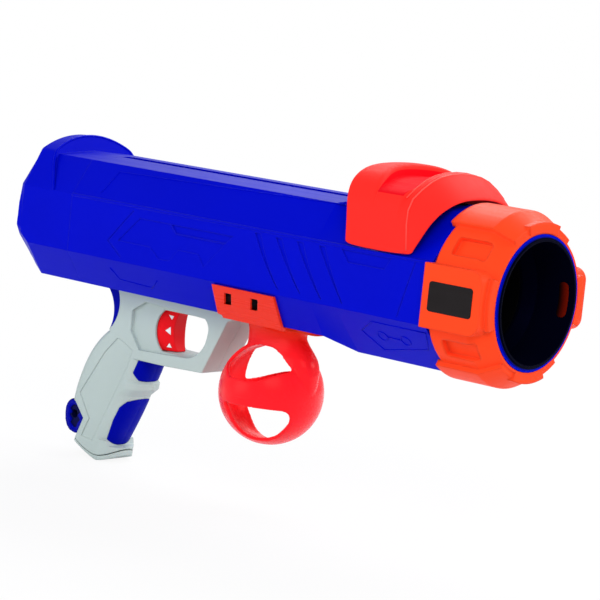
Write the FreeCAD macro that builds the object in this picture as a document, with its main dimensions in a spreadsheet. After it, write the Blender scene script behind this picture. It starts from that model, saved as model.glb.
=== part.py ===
import FreeCAD, Part
import math
import os

import Sketcher

# Dog tennis ball launcher, in millimetres.
# The origin is the centre of the muzzle's front face. +X points out of the muzzle, +Z up and +Y to the left.
# A place along the launcher is given as its distance behind the muzzle face.

SIZES = {
    # Barrel housing, main section
    "shell_front": 45.0,
    "cap_seam": 350.0,
    "band_half_width": 50.0,
    "crease_height": 19.2,
    "roof_half_width": 34.0,
    "roof_height": 42.5,
    "ridge_height": 44.8,
    "keel_height": 41.0,
    "belly_height": 41.5,
    "wall": 2.5,
    "crease_rib": 0.6,
    "panel_recess": 0.6,
    "strip_recess": 1.0,
    "scallop_recess": 1.0,
    "line_recess": 0.5,
    # Barrel housing, larger front section
    "step_back": 135.0,
    "step_front": 115.0,
    "shoulder_half_width": 22.0,
    "shoulder_height": 48.5,
    "crown_height": 52.0,
    # Slot of the priming slide
    "slot_half_width": 5.5,
    "slot_front": 58.0,
    "slot_back": 362.0,
    # Rear cap
    "cap_taper": 389.0,
    "cap_shoulder": 396.5,
    "cap_face": 400.7,
    "cap_end": 405.0,
    "collar_front": 367.6,
    "collar_bend": 380.0,
    "collar_bend_height": 37.5,
    "collar_top": 387.0,
    "collar_half_width": 36.0,
    "collar_edge_height": 44.5,
    "collar_height": 54.5,
    # Muzzle
    "liner_radius": 41.8,
    "mouth_radius": 37.6,
    "mouth_depth": 28.0,
    "rim_step": 0.6,
    "barrel_bore": 33.6,
    "barrel_wall": 1.8,
    "funnel_length": 8.0,
    "liner_length": 50.0,
    "ring_radius": 51.5,
    "ring_front": 1.5,
    "ring_front_radius": 43.6,
    "ring_bevel": 16.0,
    "pad_radius": 54.5,
    "side_pad_width": 54.0,
    "side_pad_half_height": 19.4,
    "side_pad_corner": 8.0,
    "side_pad_front": 4.0,
    "pad_overlap": 2.0,
    "crown_pad_angle": 37.0,
    "lug_radius": 49.0,
    "lug_front": 1.3,
    "lug_length": 11.0,
    "lug_half_angle": 19.0,
    "ring_pocket_angle": 37.0,
    "ring_pocket_front": 12.0,
    "ring_pocket_back": 36.0,
    "ring_pocket_half_width": 6.4,
    "ring_pocket_floor": 47.6,
    "label_length": 32.0,
    "label_height": 18.0,
    "label_front": 10.0,
    "label_thickness": 0.4,
    "detent_half_width": 3.6,
    "detent_half_height": 11.0,
    "detent_place": 8.1,
    # Air cylinder and plunger
    "breech_place": 112.0,
    "breech_thickness": 6.0,
    "rib_thickness": 2.0,
    "rib_height": 3.0,
    "flange_radius": 34.0,
    "flange_thickness": 3.0,
    "port_radius": 6.0,
    "cylinder_bore": 28.5,
    "cylinder_wall": 2.5,
    "cylinder_back": 300.0,
    "seat_thickness": 4.0,
    "plunger_front": 124.0,
    "plunger_thickness": 8.0,
    "seal_width": 4.0,
    "seal_depth": 2.2,
    "hub_wall": 4.0,
    "hub_length": 8.0,
    "bumper_thickness": 3.0,
    "gasket_thickness": 1.5,
    "rod_radius": 5.0,
    "rod_tail": 314.0,
    "rod_pin_place": 311.8,
    "rod_pin_radius": 1.5,
    "rod_pin_length": 18.0,
    "notch_depth": 2.0,
    "spring_radius": 18.0,
    "spring_wire": 2.2,
    "stroke": 80.0,
    # Draw bar
    "bar_bottom": 36.0,
    "bar_thickness": 3.0,
    "bar_half_width": 4.6,
    "bar_front": 64.0,
    "fork_back": 310.0,
    "fork_thickness": 3.0,
    "fork_half_width": 9.0,
    "fork_bottom": 3.0,
    "post_length": 10.0,
    "front_post": 70.0,
    "rear_post": 96.0,
    "screw_radius": 1.5,
    "screw_head_radius": 3.0,
    "screw_head_height": 2.0,
    "slide_screw_reach": 6.0,
    # Priming slide
    "slide_half_width": 53.0,
    "slide_bottom": 20.5,
    "slide_shoulder": 48.5,
    "hump_step_half": 48.0,
    "hump_step_height": 58.0,
    "hump_crown_half": 35.0,
    "hump_crown_edge": 66.3,
    "slide_step_half": 41.5,
    "slide_step_height": 54.5,
    "slide_crown_half": 34.5,
    "slide_crown_edge": 63.0,
    "slide_height": 71.0,
    "slide_back": 111.0,
    "slide_bulge": 118.0,
    "slide_front": 67.0,
    "slide_nose": 50.0,
    "slide_corner": 4.5,
    "slide_arch_foot": 50.7,
    "slide_arch_height": 55.0,
    "arch_shoulder_half": 36.0,
    "arch_shoulder_height": 47.5,
    "arch_haunch_half": 45.5,
    "arch_haunch_height": 36.3,
    "pocket_front": 71.0,
    "pocket_back": 91.0,
    "pocket_depth": 8.0,
    "pocket_edge_height": 57.0,
    # Grip
    "grip_half_width": 15.0,
    "grip_top": 41.7,
    "handle_nose": 12.0,
    "handle_heel": 8.0,
    "inlay_rise": 0.2,
    "panel_depth": 0.6,
    "window_plate": 12.5,
    "trigger_top": 51.5,
    "trigger_bottom": 79.1,
    "trigger_front": 283.6,
    "trigger_back": 300.0,
    "stem_top": 60.0,
    "stem_bottom": 68.0,
    "stem_back": 314.8,
    "backstrap_half_width": 14.0,
    "lanyard_half_width": 11.0,
    "lanyard_hole": 3.0,
    "cap_thickness": 3.0,
    # Trigger and sear
    "trigger_half_width": 10.5,
    "trigger_nose_half": 4.0,
    "trigger_flank": 296.0,
    "stem_half_width": 4.0,
    "trigger_travel": 8.0,
    "trigger_spring_back": 321.0,
    "trigger_spring_depth": 74.5,
    "sear_pivot": 318.0,
    "sear_pivot_depth": 26.0,
    "sear_pin_radius": 2.0,
    "sear_half_width": 2.5,
    "small_spring_radius": 2.5,
    # Ball holder
    "cage_place": 201.0,
    "cage_depth": 91.0,
    "cage_radius": 34.7,
    "cage_wall": 2.4,
    "bracket_back": 216.0,
    "bracket_front": 164.0,
    "bracket_foot_back": 221.4,
    "bracket_belly_back": 218.0,
    "bracket_foot_front": 168.0,
    "tongue_front": 147.0,
    "tongue_half_width": 27.0,
    "tongue_fillet": 7.0,
    "bracket_top": 20.7,
    "rear_rib_half": 8.0,
    "bottom_rib_half": 5.0,
    "bracket_thickness": 2.2,
    "neck_back": 216.0,
    "neck_front": 176.0,
    "neck_half_width": 12.0,
    # Gaps between pieces
    "gap": 0.3,
    "rod_clearance": 0.06,
}


class Size:
    """A length, angle or ratio: its value, and the sheet formula that gives it."""

    def __init__(self, value, formula):
        self.value = value
        self.formula = formula

    def joined(self, sign, other, value):
        return Size(value, f"({self.formula} {sign} {other.formula})")

    def __add__(self, other):
        other = as_size(other)
        return self.joined("+", other, self.value + other.value)

    def __radd__(self, other):
        return as_size(other) + self

    def __sub__(self, other):
        other = as_size(other)
        return self.joined("-", other, self.value - other.value)

    def __rsub__(self, other):
        return as_size(other) - self

    def __mul__(self, other):
        other = as_size(other)
        return self.joined("*", other, self.value * other.value)

    def __rmul__(self, other):
        return as_size(other) * self

    def __truediv__(self, other):
        other = as_size(other)
        return self.joined("/", other, self.value / other.value)

    def __neg__(self):
        return Size(-self.value, f"(-1 * {self.formula})")


def as_size(item):
    return item if isinstance(item, Size) else Size(float(item), repr(float(item)))


def root(item):
    return Size(math.sqrt(item.value), f"sqrt({item.formula})")


def cosine(angle):
    angle = as_size(angle)
    return Size(math.cos(math.radians(angle.value)), f"cos({angle.formula})")


def sine(angle):
    angle = as_size(angle)
    return Size(math.sin(math.radians(angle.value)), f"sin({angle.formula})")


document = FreeCAD.newDocument("BallLauncher")
sheet = document.addObject("Spreadsheet::Sheet", "Sizes")
for row, (alias, number) in enumerate(SIZES.items(), start=1):
    sheet.set(f"A{row}", alias)
    sheet.set(f"B{row}", str(number))
    sheet.setAlias(f"B{row}", alias)
document.recompute()


class Sheet:
    """Gives each size of the sheet as an attribute."""

    def __getattr__(self, alias):
        return Size(float(sheet.get(alias)), "Sizes." + alias)


s = Sheet()
BODIES = []


# Drawing helpers

def bind(item, name, size):
    item.setExpression(name, as_size(size).formula)


def new_body(label):
    body = document.addObject("PartDesign::Body", label)
    body.Label = label
    BODIES.append(body)
    return body


def origin_feature(body, role):
    return next(item for item in body.Origin.OriginFeatures if item.Role == role)


def new_sketch(body, role, offset=0.0, tilt=0.0):
    """A sketch on an origin plane. XZ faces -Y, YZ faces +X and XY faces +Z; tilt turns it about its own x axis."""
    sketch = body.newObject("Sketcher::SketchObject", body.Label + "_sketch")
    sketch.AttachmentSupport = (origin_feature(body, role), [""])
    sketch.MapMode = "FlatFace"
    offset = as_size(offset)
    tilt = as_size(tilt)
    turn = FreeCAD.Rotation(FreeCAD.Vector(1, 0, 0), tilt.value)
    sketch.AttachmentOffset = FreeCAD.Placement(FreeCAD.Vector(0, 0, 0), turn)
    if tilt.value:
        bind(sketch, "AttachmentOffset.Rotation.Angle", tilt)
        bind(sketch, "AttachmentOffset.Base.y", -1 * (offset * sine(tilt)))
        bind(sketch, "AttachmentOffset.Base.z", offset * cosine(tilt))
    else:
        bind(sketch, "AttachmentOffset.Base.z", offset)
    return sketch


def via(x, y):
    """Between two corners: the edge between them is an arc through this point."""
    return ("via", x, y)


def place_point(sketch, index, position, x, y):
    """Holds one point of the sketch at x, y by the sheet's formulas."""
    first = sketch.addConstraint(
        [
            Sketcher.Constraint("DistanceX", -1, 1, index, position, as_size(x).value),
            Sketcher.Constraint("DistanceY", -1, 1, index, position, as_size(y).value),
        ]
    )[0]
    bind(sketch, f"Constraints[{first}]", x)
    bind(sketch, f"Constraints[{first + 1}]", y)


def flat(x, y):
    return FreeCAD.Vector(as_size(x).value, as_size(y).value, 0)


def rounded_ends(before, corner, after, radius):
    """The two tangent points and the middle of a corner's rounding."""
    back = (before - corner).normalize()
    ahead = (after - corner).normalize()
    half = back.getAngle(ahead) / 2
    reach = radius / math.tan(half)
    middle = (back + ahead).normalize() * (radius / math.sin(half) - radius)
    return corner + back * reach, corner + middle, corner + ahead * reach


def arc_between(start, middle, finish):
    """An arc that runs counterclockwise, and whether it starts at the finish."""
    centre = Part.Arc(start, middle, finish).toShape().Curve.Center
    turns = [math.atan2(spot.y - centre.y, spot.x - centre.x) for spot in (start, middle, finish)]
    onward = (turns[1] - turns[0]) % math.tau < (turns[2] - turns[0]) % math.tau
    whole = Part.Circle(centre, FreeCAD.Vector(0, 0, 1), (start - centre).Length)
    first, last = (turns[0], turns[2]) if onward else (turns[2], turns[0])
    return Part.ArcOfCircle(whole, first, first + (last - first) % math.tau), not onward


def draw(sketch, items):
    """Draws one closed outline. A corner is (x, y), or (x, y, radius) where it is rounded; via() bows an edge."""
    corners = [item for item in items if item[0] != "via"]
    bows = {}
    for place, item in enumerate(items):
        if item[0] == "via":
            bows[len([other for other in items[:place] if other[0] != "via"]) - 1] = item
    count = len(corners)
    spots = [flat(corner[0], corner[1]) for corner in corners]
    ends = []
    for place, corner in enumerate(corners):
        if len(corner) == 3:
            radius = as_size(corner[2]).value
            ends.append(rounded_ends(spots[place - 1], spots[place], spots[(place + 1) % count], radius))
        else:
            ends.append((spots[place], None, spots[place]))
    edges = []
    for place in range(count):
        start = ends[place][2]
        finish = ends[(place + 1) % count][0]
        swapped = False
        if place in bows:
            shape, swapped = arc_between(start, flat(bows[place][1], bows[place][2]), finish)
        else:
            shape = Part.LineSegment(start, finish)
        index = sketch.addGeometry(shape, False)
        edges.append((index, 2 if swapped else 1, 1 if swapped else 2))
    for place, corner in enumerate(corners):
        before = edges[place - 1]
        after = edges[place]
        if len(corner) == 2:
            sketch.addConstraint(Sketcher.Constraint("Coincident", before[0], before[2], after[0], after[1]))
            place_point(sketch, after[0], after[1], corner[0], corner[1])
            continue
        shape, swapped = arc_between(*ends[place])
        arc = sketch.addGeometry(shape, False)
        first = 2 if swapped else 1
        sketch.addConstraint(Sketcher.Constraint("Tangent", before[0], before[2], arc, first))
        sketch.addConstraint(Sketcher.Constraint("Tangent", arc, 3 - first, after[0], after[1]))
        index = sketch.addConstraint(Sketcher.Constraint("Radius", arc, as_size(corner[2]).value))
        bind(sketch, f"Constraints[{index}]", corner[2])
        point = sketch.addGeometry(Part.Point(spots[place]), True)
        sketch.addConstraint(Sketcher.Constraint("PointOnObject", point, 1, before[0]))
        sketch.addConstraint(Sketcher.Constraint("PointOnObject", point, 1, after[0]))
        place_point(sketch, point, 1, corner[0], corner[1])
    for place, bow in bows.items():
        point = sketch.addGeometry(Part.Point(flat(bow[1], bow[2])), True)
        sketch.addConstraint(Sketcher.Constraint("PointOnObject", point, 1, edges[place][0]))
        place_point(sketch, point, 1, bow[1], bow[2])
    return sketch


def circle(sketch, x, y, radius):
    index = sketch.addGeometry(Part.Circle(flat(x, y), FreeCAD.Vector(0, 0, 1), as_size(radius).value), False)
    place_point(sketch, index, 3, x, y)
    constraint = sketch.addConstraint(Sketcher.Constraint("Radius", index, as_size(radius).value))
    bind(sketch, f"Constraints[{constraint}]", radius)
    return sketch


def box(sketch, left, bottom, right, top):
    return draw(sketch, [(left, bottom), (right, bottom), (right, top), (left, top)])


def add(body, kind, profile, **settings):
    """Adds a feature to the body and checks that it changed the solid the right way."""
    document.recompute()
    before = body.Shape.Volume if not body.Shape.isNull() else 0.0
    item = body.newObject("PartDesign::" + kind, f"{body.Label}_{kind}")
    if profile:
        item.Profile = (profile, [""])
    for name, setting in settings.items():
        if isinstance(setting, Size):
            bind(item, name, setting)
        else:
            setattr(item, name, setting)
    document.recompute()
    change = body.Shape.Volume - before
    cuts = kind in ("Pocket", "Groove", "SubtractiveLoft", "SubtractiveSphere")
    if (change >= 0) if cuts else (change <= 0):
        raise RuntimeError(f"{item.Label} changed the volume by {change}")
    return item


def loft(body, sketches, kind="AdditiveLoft"):
    sections = [(sketch, [""]) for sketch in sketches[1:]]
    return add(body, kind, sketches[0], Sections=sections, Ruled=True)


def turned(body, corners, kind="Revolution"):
    """Turns an outline of distances along X and radii about the X axis."""
    sketch = draw(new_sketch(body, "XZ_Plane"), corners)
    return add(body, kind, sketch, ReferenceAxis=(origin_feature(body, "X_Axis"), [""]), Angle=360.0)


def inward(chain, distance):
    """Moves a half section's chain of corners inward by a distance. Its ends lie on the middle plane."""
    normals = []
    for start, finish in zip(chain, chain[1:]):
        run = as_size(finish[0]) - as_size(start[0])
        rise = as_size(finish[1]) - as_size(start[1])
        length = root(run * run + rise * rise)
        normals.append((rise / length, -1 * (run / length)))
    moved = [(chain[0][0], chain[0][1] - distance)]
    for place in range(1, len(chain) - 1):
        one = normals[place - 1]
        two = normals[place]
        share = distance / (1 + one[0] * two[0] + one[1] * two[1])
        moved.append((chain[place][0] + share * (one[0] + two[0]), chain[place][1] + share * (one[1] + two[1])))
    moved.append((chain[-1][0], chain[-1][1] + distance))
    return moved


def sided(chain, side):
    return [(side * as_size(corner[0]), corner[1]) for corner in chain]


def both_sides(chain):
    """The whole section from a half chain that starts and ends on the middle plane."""
    other = [(-1 * as_size(corner[0]), corner[1]) for corner in reversed(chain[1:-1])]
    return chain + other


def behind(x, z):
    """A point of a side outline, given as its distance behind the muzzle and its depth below the axis."""
    return (-as_size(x), -as_size(z))


# Sections of the barrel housing, from the ridge round the left side to the belly

def main_section():
    return [
        (as_size(0), s.ridge_height),
        (s.roof_half_width, s.roof_height),
        (s.band_half_width, s.crease_height),
        (s.band_half_width, -s.crease_height),
        (s.roof_half_width, -s.keel_height),
        (as_size(0), -s.belly_height),
    ]


def front_section():
    return [
        (as_size(0), s.crown_height),
        (s.shoulder_half_width, s.shoulder_height),
        (s.band_half_width, s.crease_height),
        (s.band_half_width, -s.crease_height),
        (s.shoulder_half_width, -s.shoulder_height),
        (as_size(0), -s.crown_height),
    ]


BODY_SCREWS = [(60.0, -40.4), (150.0, -36.4), (240.0, -36.4), (335.0, -36.4)]
BOSS_RADIUS = 4.4
SCREW_SEAT = 20.0
SCREW_REACH = 12.0


def barrel_radius():
    return s.barrel_bore + s.barrel_wall


def cylinder_radius():
    return s.cylinder_bore + s.cylinder_wall


def bulkhead(body, side, distance, thickness, section):
    """An inner rib across the half section; the tube it carries is cut through it later."""
    sketch = new_sketch(body, "YZ_Plane", -distance - thickness)
    draw(sketch, sided(inward(section, s.wall / 2), side))
    add(body, "Pad", sketch, Length=as_size(thickness))


def round_notch(body, front, back, radius):
    """Cuts a round seat about the X axis through the bulkheads between two distances."""
    notch = circle(new_sketch(body, "YZ_Plane", -front), 0, 0, radius)
    add(body, "Pocket", notch, Length=as_size(back) - front)


# Relief of the flat band, as outlines seen from the side: distance behind the muzzle, height above the axis.
BAND_PANEL = [
    (285.5, 11.7),
    (303.5, -5.5),
    (274.1, -5.8),
    (266.0, -12.2),
    (256.5, -12.2),
    (249.1, -4.0),
    (231.5, -4.0),
    (226.1, -11.6),
    (209.4, 5.8),
    (252.3, 5.9),
    (258.4, 11.7),
]
BAND_STRIP = [(257.0, 11.7), (252.0, 6.5), (209.0, 6.4), (203.3, 11.7)]
BAND_NOTCH = [(114.2, 17.0), (108.4, 9.6), (80.3, 9.6), (75.4, 17.0)]
CHEVRON = [(292.0, 16.2), (313.5, -6.8), (300.6, -16.3), (300.0, -15.3), (312.0, -6.8), (291.2, 15.5)]
SCALLOPS = [
    [(185.3, 16.9), (177.6, 3.5), (162.5, -15.7)],
    [(167.7, 16.3), (159.3, 3.1), (144.4, -15.3)],
    [(150.4, 16.4), (140.9, 0.9), (127.2, -16.2)],
    [(132.5, 16.5), (124.3, 3.5), (110.4, -16.0)],
]
FRONT_SEAM = [(57.6, 17.4), (62.8, -0.3), (67.3, -16.8)]
SNAP_SLOTS = [(212.0, 202.6), (189.5, 179.4)]
SNAP_SLOT_LENGTH = 5.0


def crescent(body, corners, width, foot, depth, side):
    """Cuts a curved groove from the band: its rear edge is an arc through three points, its width narrows to a foot."""
    top, middle, low = corners
    sketch = new_sketch(body, "XZ_Plane", -side * s.band_half_width)
    waist = (width + foot) / 2
    draw(
        sketch,
        [
            (-top[0], top[1]),
            via(-middle[0], middle[1]),
            (-low[0], low[1]),
            (-low[0] + foot, low[1]),
            via(-middle[0] + waist, middle[1]),
            (-top[0] + width, top[1]),
        ],
    )
    add(body, "Pocket", sketch, Length=depth, Reversed=side > 0)


def snap_slots(sketch, trim):
    """The slanted slots of the ball holder's bracket, where the housing's snap openings show."""
    for back, front in SNAP_SLOTS:
        top = 26.4 + trim
        low = 33.2 - trim
        across = SNAP_SLOT_LENGTH - trim
        draw(
            sketch,
            [
                behind(back - trim, low),
                behind(back - across, low),
                behind(front + SNAP_SLOT_LENGTH - across, top),
                behind(front + SNAP_SLOT_LENGTH - trim, top),
            ],
        )


def band_relief(body, side):
    """The rib along the upper crease and the recessed figures of the band."""
    rib = new_sketch(body, "YZ_Plane", -s.cap_seam + s.gap / 2)
    out = s.band_half_width
    draw(
        rib,
        [
            (side * (out - 0.5), s.crease_height - 1.4),
            (side * out, s.crease_height - 1.4),
            (side * (out + s.crease_rib), s.crease_height - 0.6),
            (side * (out + s.crease_rib), s.crease_height + 0.2),
            (side * (out - 0.4), s.crease_height + 0.9),
        ],
    )
    add(body, "Pad", rib, Length=s.cap_seam - s.gap / 2 - s.shell_front - s.pad_overlap - 1)
    for corners, depth in (
        (BAND_PANEL, s.panel_recess),
        (BAND_STRIP, s.strip_recess),
        (BAND_NOTCH, s.strip_recess),
        (CHEVRON, s.line_recess),
    ):
        sketch = new_sketch(body, "XZ_Plane", -side * out)
        draw(sketch, [(-x, z) for x, z in corners])
        add(body, "Pocket", sketch, Length=depth, Reversed=side > 0)
    for corners in SCALLOPS:
        crescent(body, corners, 5.0, 0.8, s.scallop_recess, side)
    crescent(body, FRONT_SEAM, 0.8, 0.8, s.line_recess, side)
    slots = new_sketch(body, "XZ_Plane", -side * (s.roof_half_width - 2))
    snap_slots(slots, 0.5)
    add(body, "Pocket", slots, Length=s.band_half_width, Reversed=side < 0)


def shell_half(label, side):
    """One moulded half of the barrel housing; side is 1 on the left and -1 on the right."""
    body = new_body(label)
    places = [
        (s.cap_seam - s.gap / 2, main_section()),
        (s.step_back, main_section()),
        (s.step_front, front_section()),
        (s.shell_front, front_section()),
    ]
    outer = []
    for distance, section in places:
        outer.append(draw(new_sketch(body, "YZ_Plane", -distance), sided(section, side)))
    loft(body, outer)
    inner = []
    for place, (distance, section) in enumerate(places):
        reach = (1.0, 0.0, 0.0, -1.0)[place]
        sketch = new_sketch(body, "YZ_Plane", -distance - reach)
        inner.append(draw(sketch, sided(inward(section, s.wall), side)))
    loft(body, inner, "SubtractiveLoft")
    for distance in (54.0, 96.0, 111.0):
        bulkhead(body, side, distance, 3.0, front_section())
    for distance in (180.0, 270.0):
        bulkhead(body, side, distance, 3.0, main_section())
    round_notch(body, s.shell_front, s.step_back, barrel_radius() + s.gap)
    round_notch(body, s.step_back, s.cylinder_back, cylinder_radius() + s.gap)
    bosses = new_sketch(body, "XZ_Plane")
    holes = new_sketch(body, "XZ_Plane")
    mouths = new_sketch(body, "XZ_Plane", -SCREW_SEAT)
    for distance, height in BODY_SCREWS:
        circle(bosses, -distance, height, BOSS_RADIUS)
        circle(holes, -distance, height, s.screw_radius + s.rod_clearance)
        circle(mouths, -distance, height, s.screw_head_radius + s.gap)
    add(body, "Pad", bosses, Length=as_size(SCREW_SEAT + 4), Reversed=side > 0)
    pin_boss = circle(new_sketch(body, "XZ_Plane", -6.0 * side), -s.sear_pivot, -s.sear_pivot_depth, 4.6)
    add(body, "Pad", pin_boss, Length=as_size(34.5), Reversed=side > 0)
    circle(holes, -s.sear_pivot, -s.sear_pivot_depth, s.sear_pin_radius + s.rod_clearance)
    add(body, "Pocket", holes, Length=as_size(SCREW_SEAT if side > 0 else SCREW_REACH), Reversed=side < 0)
    if side > 0:
        add(body, "Pocket", mouths, Length=as_size(40.0))
    channel = new_sketch(body, "YZ_Plane", -s.shell_front)
    box(channel, 0, s.bar_bottom - 1, side * (s.bar_half_width + s.gap), s.roof_height)
    add(body, "Pocket", channel, Length=s.cap_seam)
    slot = new_sketch(body, "XY_Plane", s.bar_bottom)
    box(slot, -s.slot_back, 0, -s.slot_front, side * s.slot_half_width)
    add(body, "Pocket", slot, Length=s.crown_height, Reversed=True)
    hatch = new_sketch(body, "XY_Plane", -(s.belly_height - 8))
    box(hatch, -s.sear_pivot - 9, 0, -s.sear_pivot + 9, side * (s.sear_half_width + 1))
    add(body, "Pocket", hatch, Length=as_size(20.0))
    band_relief(body, side)
    return body


# The rear cap's end closes in over three sections. Each corner is a share of the band's half width and of
# the roof's height, from the ridge round to the belly.
CAP_SHOULDER = [(0, 1.05), (0.67, 1.0), (1.0, 0.45), (1.0, -0.05), (1.0, -0.21), (1.0, -0.31), (0.65, -0.85), (0, -0.98)]
CAP_FACE = [(0, 1.03), (0.62, 1.0), (0.95, 0.47), (0.99, 0.15), (1.0, -0.2), (0.93, -0.36), (0.62, -0.78), (0, -0.96)]
CAP_END = [(0, 1.0), (0.55, 1.0), (0.84, 0.5), (0.9, 0.1), (0.92, -0.17), (0.84, -0.33), (0.6, -0.72), (0, -0.94)]


def cap_section(shares):
    return both_sides([(s.band_half_width * across, s.roof_height * up) for across, up in shares])


def full_section():
    """The main section with two more corners on the band, so that the cap's end sections match it."""
    chain = main_section()
    low = s.roof_height * CAP_SHOULDER[4][1]
    high = s.roof_height * CAP_SHOULDER[3][1]
    return both_sides(chain[:3] + [(s.band_half_width, high), (s.band_half_width, low)] + chain[3:])


def build_rear_cap():
    """The closed rear end, with the raised collar that the roof slot runs up to."""
    body = new_body("rear_cap")
    dome = new_sketch(body, "YZ_Plane", -s.cap_shoulder)
    draw(
        dome,
        [
            (-s.band_half_width, s.crease_height),
            (s.band_half_width, s.crease_height),
            (s.collar_half_width, s.collar_edge_height, 5.0),
            via(0, s.collar_height),
            (-s.collar_half_width, s.collar_edge_height, 5.0),
        ],
    )
    add(body, "Pad", dome, Length=s.cap_shoulder - s.collar_front)
    rake = new_sketch(body, "XZ_Plane")
    draw(
        rake,
        [
            (-s.collar_front + 1, s.crease_height),
            (-s.collar_front, s.crease_height),
            (-s.collar_bend, s.collar_bend_height),
            (-s.collar_top, s.collar_height + 1),
            (-s.collar_front + 1, s.collar_height + 1),
        ],
    )
    add(body, "Pocket", rake, Type=1, Midplane=True)
    rings = [
        (s.cap_seam, full_section()),
        (s.cap_taper, full_section()),
        (s.cap_shoulder, cap_section(CAP_SHOULDER)),
        (s.cap_face, cap_section(CAP_FACE)),
        (s.cap_end, cap_section(CAP_END)),
    ]
    loft(body, [draw(new_sketch(body, "YZ_Plane", -distance), section) for distance, section in rings])
    cavity = new_sketch(body, "YZ_Plane", -s.cap_seam + 1)
    draw(cavity, both_sides(inward(main_section(), s.wall)))
    add(body, "Pocket", cavity, Length=s.cap_taper - s.cap_seam - 3)
    fork = new_sketch(body, "YZ_Plane", -s.cap_taper + 5)
    box(fork, -12, -10, 12, s.bar_bottom + s.bar_thickness + 1.5)
    add(body, "Pocket", fork, Length=s.fork_back + s.stroke + 1 - s.cap_taper + 5)
    tail = box(new_sketch(body, "YZ_Plane", -s.cap_taper + 5), -12, -10, 12, 12)
    add(body, "Pocket", tail, Length=s.cap_face - s.cap_taper + 2)


# Muzzle

def sector(centre, half, inner, outer):
    """Corners of a ring sector about the origin; angles in degrees from the sketch's x axis."""
    low = as_size(centre) - half
    high = as_size(centre) + half
    return [
        (inner * cosine(low), inner * sine(low)),
        (outer * cosine(low), outer * sine(low)),
        via(outer * cosine(centre), outer * sine(centre)),
        (outer * cosine(high), outer * sine(high)),
        (inner * cosine(high), inner * sine(high)),
        via(inner * cosine(centre), inner * sine(centre)),
    ]


def build_muzzle_ring():
    """The grip ring round the muzzle: four pads that lap over the housing, four front lugs and four pockets."""
    body = new_body("muzzle_ring")
    bore = s.liner_radius + s.gap
    turned(
        body,
        [
            (-s.shell_front, bore),
            (-s.shell_front, s.ring_radius - 1),
            (-s.shell_front + 1.5, s.ring_radius),
            (-s.ring_bevel, s.ring_radius),
            (-s.ring_front, s.ring_front_radius),
            (-s.ring_front, bore),
        ],
    )
    crowns = new_sketch(body, "YZ_Plane", -s.shell_front - s.pad_overlap)
    for centre in (90.0, -90.0):
        draw(crowns, sector(centre, s.crown_pad_angle, bore + 1, s.pad_radius))
    add(body, "Pad", crowns, Length=s.shell_front + s.pad_overlap - s.ring_front - 1)
    turned(
        body,
        [
            (-s.ring_bevel, s.pad_radius + 0.1),
            (-s.ring_front, s.ring_front_radius + 3),
            (-s.ring_front + 1, s.ring_front_radius + 3),
            (-s.ring_front + 1, s.pad_radius + 3),
            (-s.ring_bevel, s.pad_radius + 3),
        ],
        "Groove",
    )
    for side in (1, -1):
        pad = new_sketch(body, "XZ_Plane", -side * (bore + 1))
        back = -s.shell_front - s.pad_overlap
        draw(
            pad,
            [
                (back, -s.side_pad_half_height),
                (-s.side_pad_front, -s.side_pad_half_height, s.side_pad_corner),
                (-s.side_pad_front, s.side_pad_half_height, s.side_pad_corner),
                (back, s.side_pad_half_height),
            ],
        )
        add(body, "Pad", pad, Length=s.side_pad_width - bore - 1, Reversed=side > 0)
    lugs = new_sketch(body, "YZ_Plane", -s.lug_front - s.lug_length)
    for centre in (0.0, 90.0, 180.0, -90.0):
        draw(lugs, sector(centre, s.lug_half_angle, bore + 1, s.lug_radius))
    add(body, "Pad", lugs, Length=s.lug_length)
    lap = new_sketch(body, "YZ_Plane", -s.shell_front)
    draw(lap, both_sides(inward(front_section(), -1 * s.gap)))
    add(body, "Pocket", lap, Length=s.pad_overlap + 1)
    for tilt in (-1 * s.ring_pocket_angle, s.ring_pocket_angle, s.ring_pocket_angle - 180, 180 - s.ring_pocket_angle):
        recess = new_sketch(body, "XZ_Plane", s.pad_radius, tilt)
        half = s.ring_pocket_half_width
        draw(
            recess,
            [
                (-s.ring_pocket_back, -half, 2.0),
                (-s.ring_pocket_front, -half, 2.0),
                (-s.ring_pocket_front, half, 2.0),
                (-s.ring_pocket_back, half, 2.0),
            ],
        )
        add(body, "Pocket", recess, Length=s.pad_radius - s.ring_pocket_floor)


def build_label_plate():
    """A blank plate on the near pad of the ring."""
    body = new_body("label_plate")
    sketch = new_sketch(body, "XZ_Plane", s.side_pad_width)
    half = s.label_height / 2
    back = -s.label_front - s.label_length
    draw(
        sketch,
        [(back, -half, 2.0), (-s.label_front, -half, 2.0), (-s.label_front, half, 2.0), (back, half, 2.0)],
    )
    add(body, "Pad", sketch, Length=s.label_thickness)


def detent_outline(trim):
    across = s.detent_half_width - trim
    up = s.detent_half_height - trim
    back = -s.detent_place - across
    front = -s.detent_place + across
    return [(back, -up, 3.0), (front, -up, 3.0), (front, up, 3.0), (back, up, 3.0)]


def build_muzzle_liner():
    """The tube inside the ring: a stepped rim, the mouth, a funnel and the socket of the barrel tube."""
    body = new_body("muzzle_liner")
    step = s.rim_step
    third = (s.liner_radius - s.mouth_radius) / 3
    funnel_end = s.mouth_depth + s.funnel_length
    socket = funnel_end + 2
    turned(
        body,
        [
            (0, s.mouth_radius),
            (0, s.mouth_radius + third),
            (-step, s.mouth_radius + third),
            (-step, s.mouth_radius + 2 * third),
            (-2 * step, s.mouth_radius + 2 * third),
            (-2 * step, s.liner_radius),
            (-s.liner_length, s.liner_radius),
            (-s.liner_length, barrel_radius() + s.gap),
            (-socket, barrel_radius() + s.gap),
            (-socket, s.barrel_bore),
            (-funnel_end, s.barrel_bore),
            (-s.mouth_depth, s.mouth_radius),
        ],
    )
    windows = draw(new_sketch(body, "XZ_Plane"), detent_outline(0.0))
    add(body, "Pocket", windows, Type=1, Midplane=True)


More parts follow.
